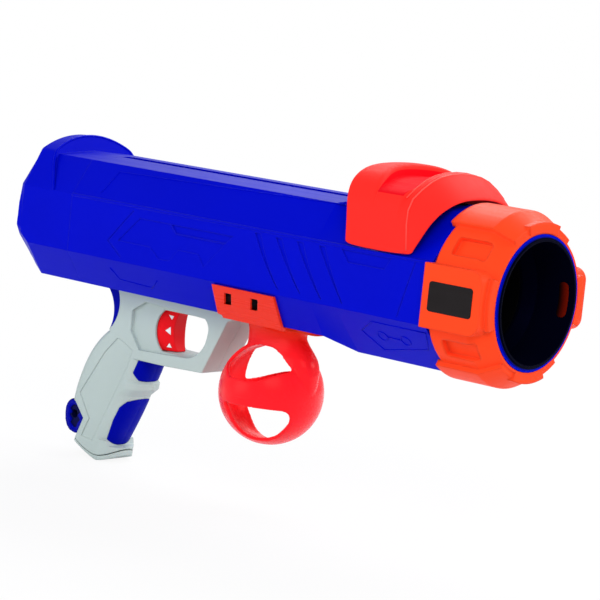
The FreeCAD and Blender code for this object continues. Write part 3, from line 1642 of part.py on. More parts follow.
def build_ball_holder():
    """One moulding: a bracket that clips over the belly, a neck, and a cage with four windows round the ball."""
    body = new_body("ball_holder")
    slope = (s.band_half_width - s.roof_half_width) / (s.keel_height - s.crease_height)
    top = (s.band_half_width - slope * (s.bracket_top - s.crease_height), -s.bracket_top)
    chain = [top, (s.roof_half_width, -s.keel_height), (as_size(0), -s.belly_height)]
    inner = inward(chain, -1 * s.gap)
    outer = inward(chain, -1 * (s.gap + s.bracket_thickness))
    inner[0] = (top[0] + s.gap, top[1])
    outer[0] = (top[0] + s.gap + s.bracket_thickness, top[1])
    left = outer + [(-1 * corner[0], corner[1]) for corner in reversed(outer[:-1])]
    right = [(-1 * corner[0], corner[1]) for corner in inner[:-1]] + list(reversed(inner))
    saddle = draw(new_sketch(body, "YZ_Plane", -s.bracket_foot_back), left + right)
    add(body, "Pad", saddle, Length=s.bracket_foot_back - s.bracket_front)
    under = -s.belly_height - s.gap
    low = under - 2 * s.bracket_thickness
    slants = new_sketch(body, "XZ_Plane")
    draw(
        slants,
        [
            (-s.bracket_foot_back - 1, -s.bracket_top + 1),
            (-s.bracket_back, -s.bracket_top + 1),
            (-s.bracket_foot_back, -s.keel_height),
            (-s.bracket_belly_back, under),
            (-s.bracket_belly_back, low),
            (-s.bracket_foot_back - 1, low),
        ],
    )
    draw(
        slants,
        [
            (-s.bracket_front, -s.bracket_top + 1),
            (-s.bracket_front + 1, -s.bracket_top + 1),
            (-s.bracket_front + 1, low),
            (-s.bracket_foot_front, low),
        ],
    )
    add(body, "Pocket", slants, Type=1, Midplane=True)
    tongue = new_sketch(body, "XY_Plane", under)
    corner = -s.bracket_foot_front + s.tongue_fillet
    bow = s.tongue_fillet * cosine(45.0)
    wide = s.tongue_half_width + s.tongue_fillet
    draw(
        tongue,
        [
            (-s.bracket_foot_front - 3, -wide),
            (-s.bracket_foot_front, -wide),
            via(corner - bow, -wide + bow),
            (corner, -s.tongue_half_width),
            (-s.tongue_front, -s.tongue_half_width, 4.0),
            (-s.tongue_front, s.tongue_half_width, 4.0),
            (corner, s.tongue_half_width),
            via(corner - bow, wide - bow),
            (-s.bracket_foot_front, wide),
            (-s.bracket_foot_front - 3, wide),
        ],
    )
    add(body, "Pad", tongue, Length=s.bracket_thickness, Reversed=True)
    cage_top = -s.cage_depth + s.cage_radius - 10
    neck = new_sketch(body, "XZ_Plane")
    draw(
        neck,
        [
            (-s.neck_back, under - 1),
            (-s.neck_back, cage_top + 8),
            (-s.neck_back + 8, cage_top),
            (-s.cage_place + 8, cage_top),
            (-s.neck_front, -s.cage_depth + 12),
            (-s.bracket_foot_front, -s.cage_depth + 12),
            via(-s.bracket_foot_front - 3, cage_top + 2),
            (-s.neck_front, under - 12),
            via(-s.neck_front + 2, under - 6),
            (-s.neck_front + 9, under - 1),
        ],
    )
    add(body, "Pad", neck, Length=2 * s.neck_half_width, Midplane=True)
    corners = new_sketch(body, "XY_Plane", under - s.bracket_thickness)
    for side in (1, -1):
        draw(
            corners,
            [
                (-s.neck_front - 6, side * s.neck_half_width),
                via(-s.neck_front + 3, side * 0.7 * s.neck_half_width),
                (-s.neck_front + 7, 0.1 * side),
                (-s.tongue_front, 0.1 * side),
                (-s.tongue_front, side * (s.neck_half_width + 2)),
                (-s.neck_front - 6, side * (s.neck_half_width + 2)),
            ],
        )
    add(body, "Pocket", corners, Length=s.cage_radius)
    for kind, radius in (("AdditiveSphere", s.cage_radius), ("SubtractiveSphere", s.cage_radius - s.cage_wall)):
        document.recompute()
        ball = body.newObject("PartDesign::" + kind, "cage_" + kind)
        bind(ball, "Radius", radius)
        bind(ball, "Placement.Base.x", -s.cage_place)
        bind(ball, "Placement.Base.z", -s.cage_depth)
        document.recompute()
    rim = s.cage_radius + 1
    for side in (1, -1):
        upper = new_sketch(body, "XZ_Plane", -side * rim)
        draw(
            upper,
            [
                (-s.cage_place - rim, -as_size(80.6)),
                behind(195.9, 80.5),
                behind(175.0, 72.0),
                ("via", -as_size(183.0), -as_size(62.5)),
                behind(196.0, 58.2),
                behind(207.0, 55.9),
                via(-s.cage_place - rim * cosine(45.0), -s.cage_depth + rim * cosine(45.0)),
            ],
        )
        add(body, "Pocket", upper, Length=rim - s.rear_rib_half, Reversed=side > 0)
        lower = new_sketch(body, "XZ_Plane", -side * rim)
        draw(
            lower,
            [
                (-s.cage_place - rim, -as_size(97.4)),
                behind(176.0, 97.6),
                ("via", -as_size(170.8), -as_size(103.0)),
                behind(175.0, 110.0),
                ("via", -as_size(184.5), -as_size(118.3)),
                (-s.cage_place, -s.cage_depth - rim),
                via(-s.cage_place - rim * cosine(45.0), -s.cage_depth - rim * cosine(45.0)),
            ],
        )
        add(body, "Pocket", lower, Length=rim - s.bottom_rib_half, Reversed=side > 0)
    slots = new_sketch(body, "XZ_Plane")
    snap_slots(slots, 0.0)
    add(body, "Pocket", slots, Type=1, Midplane=True)


# The whole launcher

for name, side in (("shell_left", 1), ("shell_right", -1)):
    shell_half(name, side)
build_rear_cap()
build_muzzle_ring()
build_label_plate()
build_muzzle_liner()
build_detent_pads()
build_barrel_tube()
build_breech_plate()
build_cylinder_gasket()
build_air_cylinder()
build_spring_seat()
build_plunger_bumper()
build_plunger_head()
build_plunger_seal()
build_plunger_rod()
build_rod_pin()
build_mainspring()
build_slide_bar()
build_slide_screws()
build_prime_slide()
for name, side in (("grip_left", 1), ("grip_right", -1)):
    grip_half(name, side)
build_grip_pads()
screw_group("body_screws", BODY_SCREWS, SCREW_SEAT, SCREW_REACH - 1)
screw_group("grip_screws", [(x, -z) for x, z in GRIP_SCREWS], s.grip_half_width - s.screw_head_height - 0.5, 11.0)
build_trigger()
small_spring("trigger_spring", s.trigger_back + s.gap, s.trigger_spring_back, s.trigger_spring_depth)
build_sear()
build_sear_pin()
small_spring("sear_spring", 320.6, 328.7, 50.0)
build_ball_holder()
document.recompute()
os.makedirs("parts", exist_ok=True)
for item in document.Objects:
    if "Invalid" in item.State or "Error" in item.State:
        raise RuntimeError(f"{item.Label} failed: {item.State}")
for body in BODIES:
    if body.Shape.isNull() or not body.Shape.isValid():
        raise RuntimeError(f"{body.Label} has no valid solid")
    print(body.Label, round(body.Shape.Volume), len(body.Shape.Solids), len(body.Shape.Faces), body.Shape.BoundBox)
    body.Shape.exportStep(f"parts/{body.Label}.step")
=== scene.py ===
import math
import bpy
import bmesh
import numpy as np
from mathutils import Matrix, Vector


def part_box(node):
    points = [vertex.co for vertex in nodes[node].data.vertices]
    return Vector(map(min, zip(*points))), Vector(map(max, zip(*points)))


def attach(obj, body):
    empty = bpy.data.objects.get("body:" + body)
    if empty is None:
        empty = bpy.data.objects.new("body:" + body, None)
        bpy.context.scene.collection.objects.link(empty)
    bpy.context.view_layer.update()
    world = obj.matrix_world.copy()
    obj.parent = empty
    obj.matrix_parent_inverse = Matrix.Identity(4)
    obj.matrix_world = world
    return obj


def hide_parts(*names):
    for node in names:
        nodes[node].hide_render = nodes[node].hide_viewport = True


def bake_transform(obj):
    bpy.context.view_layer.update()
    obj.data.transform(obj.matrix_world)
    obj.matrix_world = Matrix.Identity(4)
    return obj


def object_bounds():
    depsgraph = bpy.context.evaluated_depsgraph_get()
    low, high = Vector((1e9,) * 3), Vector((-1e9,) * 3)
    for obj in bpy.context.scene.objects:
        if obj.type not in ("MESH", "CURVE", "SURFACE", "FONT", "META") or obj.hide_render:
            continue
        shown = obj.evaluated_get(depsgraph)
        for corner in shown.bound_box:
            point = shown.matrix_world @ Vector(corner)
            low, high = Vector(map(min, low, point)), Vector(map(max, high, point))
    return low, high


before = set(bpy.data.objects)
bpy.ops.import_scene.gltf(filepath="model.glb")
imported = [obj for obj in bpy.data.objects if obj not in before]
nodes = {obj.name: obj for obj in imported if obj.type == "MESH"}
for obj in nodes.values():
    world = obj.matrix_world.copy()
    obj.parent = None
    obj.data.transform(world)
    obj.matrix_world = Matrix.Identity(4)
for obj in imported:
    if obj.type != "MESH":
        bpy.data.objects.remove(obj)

cad_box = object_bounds()

# ---------------------------------------------------------------- camera
# A long lens in front of the muzzle and to the launcher's right, held a little high and
# tipped, so the barrel runs away up to the left as in the picture.
scene = bpy.context.scene
turn, dip, tip = np.radians([39.722, 7.436, 5.854])
flat = np.array([math.cos(turn), math.sin(turn), 0.0])
back = np.array([math.sin(turn) * math.cos(dip), -math.cos(turn) * math.cos(dip), math.sin(dip)])
rise = np.cross(back, flat)
right = math.cos(tip) * flat + math.sin(tip) * rise
up = -math.sin(tip) * flat + math.cos(tip) * rise
lens_at = -0.142509 * right + 0.002367 * up + 1.47697 * back


def standing(side, over, away, place):
    """The matrix whose columns are an object's three unit axes and its place in metres."""
    return Matrix(np.column_stack([side, over, away, place]).tolist() + [[0.0, 0.0, 0.0, 1.0]])


# the film's width in millimetres, the focal length and the picture's width in pixels
film_width, focal_length, picture_width = 36.0, 2474.82, 600.0
lens = bpy.data.cameras.new("long_lens")
lens.sensor_width = film_width
lens.lens = film_width * focal_length / picture_width
lens.clip_end = 20.0
camera = bpy.data.objects.new("camera", lens)
scene.collection.objects.link(camera)
camera.matrix_world = standing(right, up, back, lens_at)
scene.camera = camera

# ---------------------------------------------------------------- studio
# Plain pale floor under the grip and four soft boxes: one high in front, one low beside the
# camera, one behind, and a long one over the roof that lays the pale streak along the barrel.
scene.view_settings.view_transform = "Standard"


def soft_box(name, place, target, width, height, watts):
    """A rectangular lamp at a place, facing a target: its axes are the direction away from the target and
    two normals to it, the first of them level."""
    lamp = bpy.data.lights.new(name, "AREA")
    lamp.shape = "RECTANGLE"
    lamp.size, lamp.size_y, lamp.energy = width, height, watts
    holder = bpy.data.objects.new(name, lamp)
    scene.collection.objects.link(holder)
    away = np.array(place, float) - np.array(target, float)
    away /= np.linalg.norm(away)
    side = np.cross([0.0, 0.0, 1.0], away)
    side /= np.linalg.norm(side)
    holder.matrix_world = standing(side, np.cross(away, side), away, place)


soft_box("key_box", (0.75, -1.15, 0.85), (-0.2, 0.0, 0.0), 0.9, 0.7, 14.0)
soft_box("fill_box", (-0.9, -1.3, 0.05), (-0.2, 0.0, 0.0), 0.8, 0.9, 8.0)
soft_box("roof_box", (-0.45, 0.9, 0.85), (-0.15, 0.0, 0.05), 1.4, 0.6, 13.0)
soft_box("rim_box", (0.75, 0.75, 0.55), (-0.05, 0.0, 0.03), 0.4, 0.5, 6.0)


def shader_node(tree, kind, inputs=None, operation="", data_type="", interpolation=""):
    """A new node in a shader tree. Each input, by name or number, takes a plain value, or the socket of
    another node that feeds it."""
    node = tree.nodes.new("ShaderNode" + kind)
    if operation:
        node.operation = operation
    if data_type:
        node.data_type = data_type
    if interpolation:
        node.interpolation_type = interpolation
    for socket, value in (inputs or {}).items():
        if isinstance(value, bpy.types.NodeSocket):
            tree.links.new(value, node.inputs[socket])
        else:
            node.inputs[socket].default_value = value
    return node


# the lit air is dim and bluish; the camera, and what is seen through glass, find plain white
world = bpy.data.worlds.new("studio_air")
scene.world = world
world.use_nodes = True
sky = world.node_tree
sky.nodes.clear()
ray = shader_node(sky, "LightPath").outputs
seen = shader_node(sky, "Math", {0: ray["Is Camera Ray"], 1: ray["Is Transmission Ray"]}, "MAXIMUM")
air = shader_node(sky, "Background", {"Color": (0.96, 0.97, 1.0, 1.0), "Strength": 0.5})
white = shader_node(sky, "Background", {"Color": (1.0, 1.0, 1.0, 1.0), "Strength": 1.0})
both = shader_node(sky, "MixShader", {0: seen.outputs[0], 1: air.outputs[0], 2: white.outputs[0]})
shader_node(sky, "OutputWorld", {"Surface": both.outputs[0]})

# to the camera the floor is nine tenths white glow near the object, which leaves a faint shadow,
# and all glow further out
floor_reach, floor_gap = 6.0, 0.0005
low = cad_box[0][2] - floor_gap
floor_mesh = bpy.data.meshes.new("floor")
floor_mesh.from_pydata([
    (-floor_reach, -floor_reach, low), (floor_reach, -floor_reach, low),
    (floor_reach, floor_reach, low), (-floor_reach, floor_reach, low),
], [], [(0, 1, 2, 3)])
floor = bpy.data.objects.new("floor", floor_mesh)
scene.collection.objects.link(floor)
floor_paint = bpy.data.materials.new("pale_floor")
floor_paint.use_nodes = True
tree = floor_paint.node_tree
tree.nodes.clear()
paint = shader_node(tree, "BsdfDiffuse", {"Color": (0.80, 0.80, 0.82, 1.0)})
glow = shader_node(tree, "Emission", {"Color": (1.0, 1.0, 1.0, 1.0), "Strength": 1.0})
ray = shader_node(tree, "LightPath").outputs
spot = shader_node(tree, "TexCoord").outputs["Object"]
distance = shader_node(tree, "VectorMath", {0: spot}, "LENGTH").outputs["Value"]
fade = shader_node(tree, "MapRange", {"Value": distance, "From Min": 0.4, "From Max": 1.2, "To Min": 0.9})
share = shader_node(tree, "Math", {0: ray["Is Camera Ray"], 1: fade.outputs["Result"]}, "MULTIPLY")
both = shader_node(tree, "MixShader", {0: share.outputs[0], 1: paint.outputs[0], 2: glow.outputs[0]})
shader_node(tree, "OutputMaterial", {"Surface": both.outputs[0]})
floor_mesh.materials.append(floor_paint)

# ---------------------------------------------------------------- barrel housing
# Two glossy injection-moulded halves in one deep blue plastic, screwed together on the middle
# plane; flow marks, a fine mould grain and a painted highlight on the edges break the shine.


def between(tree, share, first, second):
    """The colour between two by a share from another node; the first may be a node's socket too."""
    mix = shader_node(tree, "Mix", {"A": first, "B": second, "Factor": share}, data_type="RGBA")
    return mix.outputs["Result"]


def second_share(tree, place, steps):
    """The product of smooth steps, each from its start to its end along X, Y, Z or the distance R from the
    barrel's axis."""
    axes = shader_node(tree, "SeparateXYZ", {0: place}).outputs
    flattened = shader_node(tree, "VectorMath", {0: place, 1: (0.0, 1.0, 1.0)}, "MULTIPLY")
    from_axis = shader_node(tree, "VectorMath", {0: flattened.outputs["Vector"]}, "LENGTH")
    share = None
    for axis, start, end in steps:
        value = from_axis.outputs["Value"] if axis == "R" else axes[axis]
        step = shader_node(
            tree, "MapRange", {"Value": value, "From Min": start, "From Max": end}, interpolation="SMOOTHSTEP"
        ).outputs["Result"]
        if share is None:
            share = step
        else:
            share = shader_node(tree, "Math", {0: share, 1: step}, "MULTIPLY").outputs["Value"]
    return share


def moulded(
    name, colour, shine, level=0.3, grain=0.05, edge=0.0006, glint=0.25, mottle=0.08, second=None
):
    """Moulded plastic on Object coordinates. Slow noise gives flow marks in the colour and the shine,
    noise drawn out along the barrel gives handling streaks in the shine, and fine noise gives the
    mould's grain as a bump. Edges are rounded by a radius in metres, and get a painted highlight: they
    turn paler by how far the rounded normal leaves the flat one. Gloss takes nine tenths of its tint
    from the colour. A second colour comes in by steps: ([(axis, start, end)], colour)."""
    material = bpy.data.materials.new(name)
    material.use_nodes = True
    tree = material.node_tree
    surface = tree.nodes["Principled BSDF"].inputs
    place = shader_node(tree, "TexCoord").outputs["Object"]
    flow = shader_node(tree, "TexNoise", {
        "Vector": place, "Scale": 14.0, "Detail": 5.0, "Roughness": 0.55, "Distortion": 0.6,
    }).outputs["Fac"]
    darker = [c * (1.0 - mottle) for c in colour]
    lighter = [min(1.0, c * (1.0 + mottle)) for c in colour]
    shade = between(tree, flow, (*darker, 1.0), (*lighter, 1.0))
    if second:
        steps, other = second
        shade = between(tree, second_share(tree, place, steps), shade, (*other, 1.0))

    rounding = shader_node(tree, "Bevel", {"Radius": edge})
    rounding.samples = 6
    rounded = rounding.outputs["Normal"]
    unrounded = shader_node(tree, "NewGeometry").outputs["Normal"]
    agreement = shader_node(tree, "VectorMath", {0: rounded, 1: unrounded}, "DOT_PRODUCT").outputs["Value"]
    # painted highlight: edges turn paler where the rounded normal leaves the flat one
    edge_highlight_share = shader_node(tree, "MapRange", {
        "Value": agreement, "From Min": 0.99, "From Max": 0.75, "To Max": glint,
    }).outputs["Result"]
    highlight_colour = [min(1.0, 1.8 * c + 0.06) for c in colour]
    tree.links.new(between(tree, edge_highlight_share, shade, (*highlight_colour, 1.0)), surface["Base Color"])

    drawn_out = shader_node(tree, "Mapping", {"Vector": place, "Scale": (6.0, 120.0, 120.0)})
    rubbed = shader_node(tree, "TexNoise", {
        "Vector": drawn_out.outputs["Vector"], "Scale": 2.5, "Detail": 4.0,
    }).outputs["Fac"]
    both = shader_node(tree, "Math", {0: flow, 1: rubbed}, "ADD").outputs["Value"]
    haze = shader_node(tree, "MapRange", {
        "Value": both, "From Min": 0.7, "From Max": 1.3, "To Min": shine * 0.86, "To Max": shine * 1.18,
    }).outputs["Result"]
    tree.links.new(haze, surface["Roughness"])

    skin = shader_node(tree, "TexNoise", {"Vector": place, "Scale": 1400.0, "Detail": 2.0}).outputs["Fac"]
    bump = shader_node(tree, "Bump", {
        "Strength": grain, "Distance": 0.0002, "Height": skin, "Normal": rounded,
    }).outputs["Normal"]
    tree.links.new(bump, surface["Normal"])
    surface["Specular IOR Level"].default_value = level
    strongest = max(colour)
    surface["Specular Tint"].default_value = (*[0.1 + 0.9 * c / strongest for c in colour], 1.0)
    return material


def dress(names, material):
    """Gives one finish to CAD nodes."""
    for name in names:
        mesh = nodes[name].data
        mesh.materials.clear()
        mesh.materials.append(material)


def piece(name, points, faces, material, body, stands_for=()):
    """A riding piece from an array of points in metres and a list of faces, shaded smooth."""
    mesh = bpy.data.meshes.new(name)
    mesh.from_pydata(np.asarray(points, float).tolist(), [], faces)
    mesh.materials.append(material)
    mesh.validate()
    built = bpy.data.objects.new(name, mesh)
    scene.collection.objects.link(built)
    mesh.shade_smooth()
    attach(built, body)
    if stands_for:
        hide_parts(*stands_for)
    return built


def grid_faces(rows, columns, first=0, ring=False, around=False):
    """Quads between neighbours of a grid stored row by row, from its first point on. Ring joins the last
    row to the first row, and around joins the last column to the first column."""
    row = np.arange(rows if ring else rows - 1)[:, None]
    column = np.arange(columns if around else columns - 1)[None, :]
    here, over, beside = row * columns, (row + 1) % rows * columns, (column + 1) % columns
    quads = np.stack([here + column, here + beside, over + beside, over + column], axis=-1)
    return (quads.reshape(-1, 4) + first).tolist()


def turned(faces):
    """The same faces seen from their other side, each from the same first corner."""
    return [face[:1] + face[:0:-1] for face in faces]


def bead(paths, radius):
    """Round beads along polylines of points in metres. At each point the profile is a ring of eight
    points in the plane across the run, and one face closes each end. Returns points and faces."""
    points, faces = [], []
    angle = (np.arange(8) * math.pi / 4)[None, :, None]
    for path in paths:
        path = np.asarray(path, float)
        run = np.gradient(path, axis=0)
        run /= np.linalg.norm(run, axis=1)[:, None]
        climbs = abs(run[:, 2]).mean() >= 0.9
        side = np.cross(run, [1.0, 0.0, 0.0] if climbs else [0.0, 0.0, 1.0])
        side /= np.linalg.norm(side, axis=1)[:, None]
        over = np.cross(side, run)
        ring = path[:, None] + radius * np.cos(angle) * side[:, None] + radius * np.sin(angle) * over[:, None]
        first, last = len(points), len(points) + 8 * (len(path) - 1)
        points.extend(ring.reshape(-1, 3).tolist())
        faces += turned(grid_faces(len(path), 8, first, around=True))
        faces += [list(range(first, first + 8)), list(range(last + 7, last - 1, -1))]
    return points, faces


def mirrored(path):
    """A run in millimetres and its twin on the other side of the middle plane, both in metres."""
    path = np.asarray(path, float) / 1000.0
    return [path, path * [1.0, -1.0, 1.0]]


# near black on the housing where it shows through the ball holder's slots
slot_shadow = [("X", -0.216, -0.214), ("X", -0.176, -0.178), ("Z", -0.040, -0.038), ("Z", -0.0215, -0.023)]
housing_blue = moulded(
    "housing_blue", (0.0, 0.0028, 0.50), 0.36, level=0.05, glint=0.2,
    second=(slot_shadow, (0.0005, 0.0005, 0.004)),
)
dress(["shell_left", "shell_right"], housing_blue)

# raised lines along the facets: forward, left and up from the muzzle's centre, on the right half
facet_lines = [
    [(-325.6, -47.6, 22.7), (-319.9, -37.3, 37.8), (-222.0, -35.8, 40.0), (-124.4, -34.2, 42.4)],
    [(-312.7, -45.6, -25.2), (-307.8, -40.2, -32.5), (-278.7, -39.6, -33.3)],
    [(-270.6, -44.0, -27.4), (-279.1, -39.0, -34.1)],
]


def on_front_facet(corners):
    """Points on the front's lower facet from distances behind the muzzle and heights. The facet starts
    at the foot of the flat side and goes inwards 28.0 for every 29.3 down."""
    side_half, side_foot, inward, downward = 50.0, 19.2, 28.0, 29.3
    place, height = np.asarray(corners, float).T
    return np.column_stack([-place, -(side_half - (-height - side_foot) * inward / downward), height])


def boss_ring(place, height):
    """A ring on the front's lower facet about a place, 25 points round; the facet's lean makes it lower
    than it is long."""
    radius, lean = 3.6, 0.75
    angle = np.linspace(0.0, 2 * math.pi, 25)
    around = np.column_stack([place + radius * np.cos(angle), height + lean * radius * np.sin(angle)])
    return on_front_facet(around)


facet_lines += [
    on_front_facet([
        (101.5, -31.6), (89.2, -23.7), (47.0, -23.8), (52.0, -35.4), (90.0, -42.3), (101.5, -31.6),
    ]),
    on_front_facet([(81.5, -32.5), (71.6, -32.5)]),
    boss_ring(85.5, -32.5),
    boss_ring(67.6, -32.5),
]
points, faces = bead([run for line in facet_lines for run in mirrored(line)], 0.0004)
piece("facet_trim", points, faces, housing_blue, "launcher")

# ---------------------------------------------------------------- rear cap
# The closed rear end in the housing's blue, pushed on and screwed; a rounded lip runs round the
# front of its raised collar and catches the light.
dress(["rear_cap"], housing_blue)
# the lip's outline, out and up from the axis: two straight facets, two bent corners and a round crown
climb = np.linspace(0.0, 1.0, 25)[:, None]
facet = np.array([49.8, 19.6]) * (1 - climb) + np.array([37.6, 41.8]) * climb
corner = np.array([[36.9, 43.0], [35.7, 44.4], [34.0, 45.6]])
bow = np.linspace(32.0, -32.0, 41)
crown_radius, crown_drop = 69.8, 15.3
crown = np.column_stack([bow, np.sqrt(crown_radius**2 - bow**2) - crown_drop])
lip = np.concatenate([facet, corner, crown, corner[::-1] * [-1, 1], facet[::-1] * [-1, 1]])
# the collar's front leans back from its feet to its crown
lip_heights, lip_places = [19.2, 37.5, 54.5], [367.6, 380.0, 387.0]
lip_along = -np.interp(lip[:, 1], lip_heights, lip_places)
points, faces = bead([np.column_stack([lip_along, lip]) / 1000.0], 0.0009)
piece("collar_lip", points, faces, housing_blue, "launcher")

# ---------------------------------------------------------------- muzzle
# An orange-red moulded ring with pads, lugs and pockets, clamped round a blue liner whose bore
# is painted near black as shade, with two soft pads that hold the ball and fade into that painted shade; a
# bare black plate lies in one pad of the ring.
ring_orange = moulded("ring_orange_red", (0.95, 0.060, 0.014), 0.42, level=0.07, edge=0.0024, glint=0.12)
dress(["muzzle_ring"], ring_orange)
dress(["label_plate"], moulded("blank_label", (0.008, 0.0068, 0.007), 0.5, level=0.1, glint=0.1))
# painted shade: the liner's bore, within about 40 mm of the axis, turns near black
liner_blue = moulded(
    "liner_blue", (0.0, 0.004, 0.50), 0.45, level=0.02, glint=0.0,
    second=([("R", 0.0409, 0.0396)], (0.0006, 0.0008, 0.006)),
)
dress(["muzzle_liner"], liner_blue)
# painted shade: the pads fade to near black from 4.5 to 11.5 mm behind the muzzle
soft_orange_fading_to_shade = moulded(
    "soft_orange_fading_to_shade", (0.16, 0.006, 0.001), 0.6, level=0.0, glint=0.0,
    second=([("X", -0.0045, -0.0115)], (0.004, 0.001, 0.001)),
)
dress(["detent_pads"], soft_orange_fading_to_shade)

# ---------------------------------------------------------------- hidden drive
# Black barrel tube, breech, draw bar and sear, the air cylinder near black as painted shade, the
# plunger in natural nylon, rubber seals, and zinc-plated steel for the pins, screws and springs.
black = moulded("inner_black", (0.0015, 0.0015, 0.002), 0.55, level=0.05, glint=0.0)
dress(["barrel_tube", "breech_plate", "slide_bar", "sear"], black)
natural = moulded("natural_nylon", (0.42, 0.43, 0.42), 0.45)
dress(["spring_seat", "plunger_head", "plunger_rod"], natural)
# painted shade: the air cylinder is near black so that it reads dark inside the housing
dress(["air_cylinder"], moulded("cylinder_near_black_shade", (0.03, 0.03, 0.033), 0.5, level=0.2))
rubber = moulded("black_rubber", (0.012, 0.012, 0.012), 0.6)
dress(["cylinder_gasket", "plunger_bumper", "plunger_seal"], rubber)
steel = moulded("plated_steel", (0.55, 0.55, 0.54), 0.3)
steel.node_tree.nodes["Principled BSDF"].inputs["Metallic"].default_value = 1.0
dress(["rod_pin", "slide_screws", "body_screws", "grip_screws", "sear_pin"], steel)

# ---------------------------------------------------------------- priming slide
# The saddle the hand pulls back: one thick orange-red moulding arched over the roof, screwed to
# the draw bar below, with a finger pocket across its crown and a bevelled nose.
saddle_red = moulded("saddle_red", (0.96, 0.026, 0.020), 0.45, level=0.04, edge=0.0012, glint=0.12)
# half sections from the foot to the crown: out from the middle plane and up from the barrel's axis
hump = np.array([
    (52.4, 20.5), (52.6, 23.5), (52.7, 40.5), (51.8, 49.0), (47.9, 56.9),
    (42.2, 62.5), (34.2, 67.1), (24.4, 69.7), (12.5, 70.7), (0.0, 70.9),
])
pocket = np.array([
    (52.4, 20.5), (52.6, 23.5), (52.7, 40.5), (51.7, 49.1), (49.6, 56.0),
    (42.0, 58.6), (31.5, 61.0), (21.8, 62.6), (11.2, 63.4), (0.0, 63.6),
])
nose = np.array([
    (52.4, 20.5), (52.6, 23.5), (52.5, 39.0), (51.2, 47.7), (47.0, 54.6),
    (38.8, 60.2), (29.6, 65.1), (20.8, 68.0), (10.5, 69.6), (0.0, 70.1),
])
arch = np.array([
    (50.2, 20.5), (49.9, 23.5), (48.4, 30.5), (45.4, 36.8), (41.2, 42.6),
    (35.6, 47.4), (27.6, 51.3), (18.6, 53.8), (9.4, 54.8), (0.0, 55.0),
])
halfway = 0.5 * nose + 0.5 * arch + [0.35, 0.6]
# distances behind the muzzle at the same ten points
rear = np.array([111.6, 111.7, 112.6, 114.4, 116.4, 117.6, 117.9, 117.9, 117.9, 117.9])
ridge = np.array([64.0, 64.0, 65.8, 66.6, 67.0, 67.0, 67.0, 67.0, 67.0, 67.0])
mouth = np.array([59.9, 59.6, 55.8, 54.2, 52.7, 51.4, 50.7, 50.5, 50.5, 50.5])
back_wall = np.array([91.0, 91.0, 91.0, 91.5, 92.5, 94.5, 97.0, 100.5, 103.5, 105.0])


def saddle_row(half, place, shift=0.0, whole=False):
    """One row of the saddle, from the right foot over the crown to the left foot: a half section and its
    twin at a distance behind the muzzle, which may differ for each point of the half. A shift moves the
    crown's points, or the whole row, towards a line above the barrel's axis; none goes below the feet."""
    line_height, foot_height = 30.0, 20.5
    section = np.concatenate([half * [-1.0, 1.0], half[-2::-1]])
    share = np.ones(10) if whole else np.array([0.0, 0.0, 0.0, 0.0, 0.35, 1.0, 1.0, 1.0, 1.0, 1.0])
    shift = shift * np.concatenate([share, share[-2::-1]])[:, None]
    if np.ndim(place):
        place = np.concatenate([place, place[-2::-1]])
    spread = np.hypot(section[:, 0], section[:, 1] - line_height)[:, None]
    section = section - shift * (section - [0.0, line_height]) / np.maximum(spread, 1.0)
    section[:, 1] = np.maximum(section[:, 1], foot_height)
    return np.column_stack([np.full(len(section), -1.0) * place, section])


rows = [
    # the underside, from the rear to the mouth
    saddle_row(arch, rear - 3.0),
    saddle_row(arch, 95.0),
    saddle_row(arch, 75.0),
    saddle_row(arch, mouth + 5.0),
    saddle_row(arch, mouth + 0.8),
    saddle_row(arch, mouth, -0.8, whole=True),
    # the bevelled nose
    saddle_row(halfway, 0.5 * ridge + 0.5 * mouth),
    saddle_row(nose, ridge - 1.2, 1.4, whole=True),
    saddle_row(nose, ridge + 0.6, 0.2, whole=True),
    saddle_row(nose, ridge + 2.6),
    saddle_row(nose, 70.8, 0.1),
    saddle_row(nose, 71.4, 0.9),
    # the finger pocket
    saddle_row(pocket, 72.8, -0.6),
    saddle_row(pocket, 73.8),
    saddle_row(pocket, 0.5 * back_wall + 36.5),
    saddle_row(pocket, back_wall - 0.8),
    saddle_row(pocket, back_wall),
    # the hump behind it
    saddle_row(hump, back_wall + 0.2, 3.0),
    saddle_row(hump, back_wall + 1.2, 1.0),
    saddle_row(hump, back_wall + 2.6),
    saddle_row(hump, back_wall + 4.5),
    saddle_row(hump, 0.5 * back_wall + 0.5 * rear),
    # the rear end
    saddle_row(hump, rear - 4.0),
    saddle_row(hump, rear - 1.0, 0.4, whole=True),
    saddle_row(hump, rear, 1.8, whole=True),
    saddle_row(hump, rear, 4.0, whole=True),
    saddle_row(0.5 * hump + 0.5 * arch, rear),
    saddle_row(arch, rear - 0.3, -1.0, whole=True),
]


def outwards(mesh, weld=0.0):
    """Turns a closed mesh's faces outwards, its points first welded where they are nearer than a
    distance in metres."""
    build = bmesh.new()
    build.from_mesh(mesh)
    if weld:
        bmesh.ops.remove_doubles(build, verts=build.verts, dist=weld)
    bmesh.ops.recalc_face_normals(build, faces=build.faces)
    build.to_mesh(mesh)
    build.free()


count, width = len(rows), len(rows[0])
right_foot = list(range(0, count * width, width))
left_foot = list(range(count * width - 1, -1, -width))
faces = grid_faces(count, width, ring=True) + [right_foot, left_foot]
saddle = piece(
    "slide_saddle", np.concatenate(rows) / 1000.0, faces, saddle_red, "slide", ["prime_slide"]
)
outwards(saddle.data)

# the pocket's rows of faces are a darker red, painted shade in the hollow, between the fifth points from the
# feet
pocket_shade_red = moulded("pocket_shade_red", (0.82, 0.004, 0.012), 0.55, level=0.01, edge=0.0006, glint=0.05)
saddle.data.materials.append(pocket_shade_red)
face_row, face_column = np.divmod(np.arange(len(saddle.data.polygons)), width - 1)
in_pocket = (face_row >= 12) & (face_row < 17) & (face_column >= 4) & (face_column < width - 5)
saddle.data.polygons.foreach_set("material_index", in_pocket.astype(np.int32))

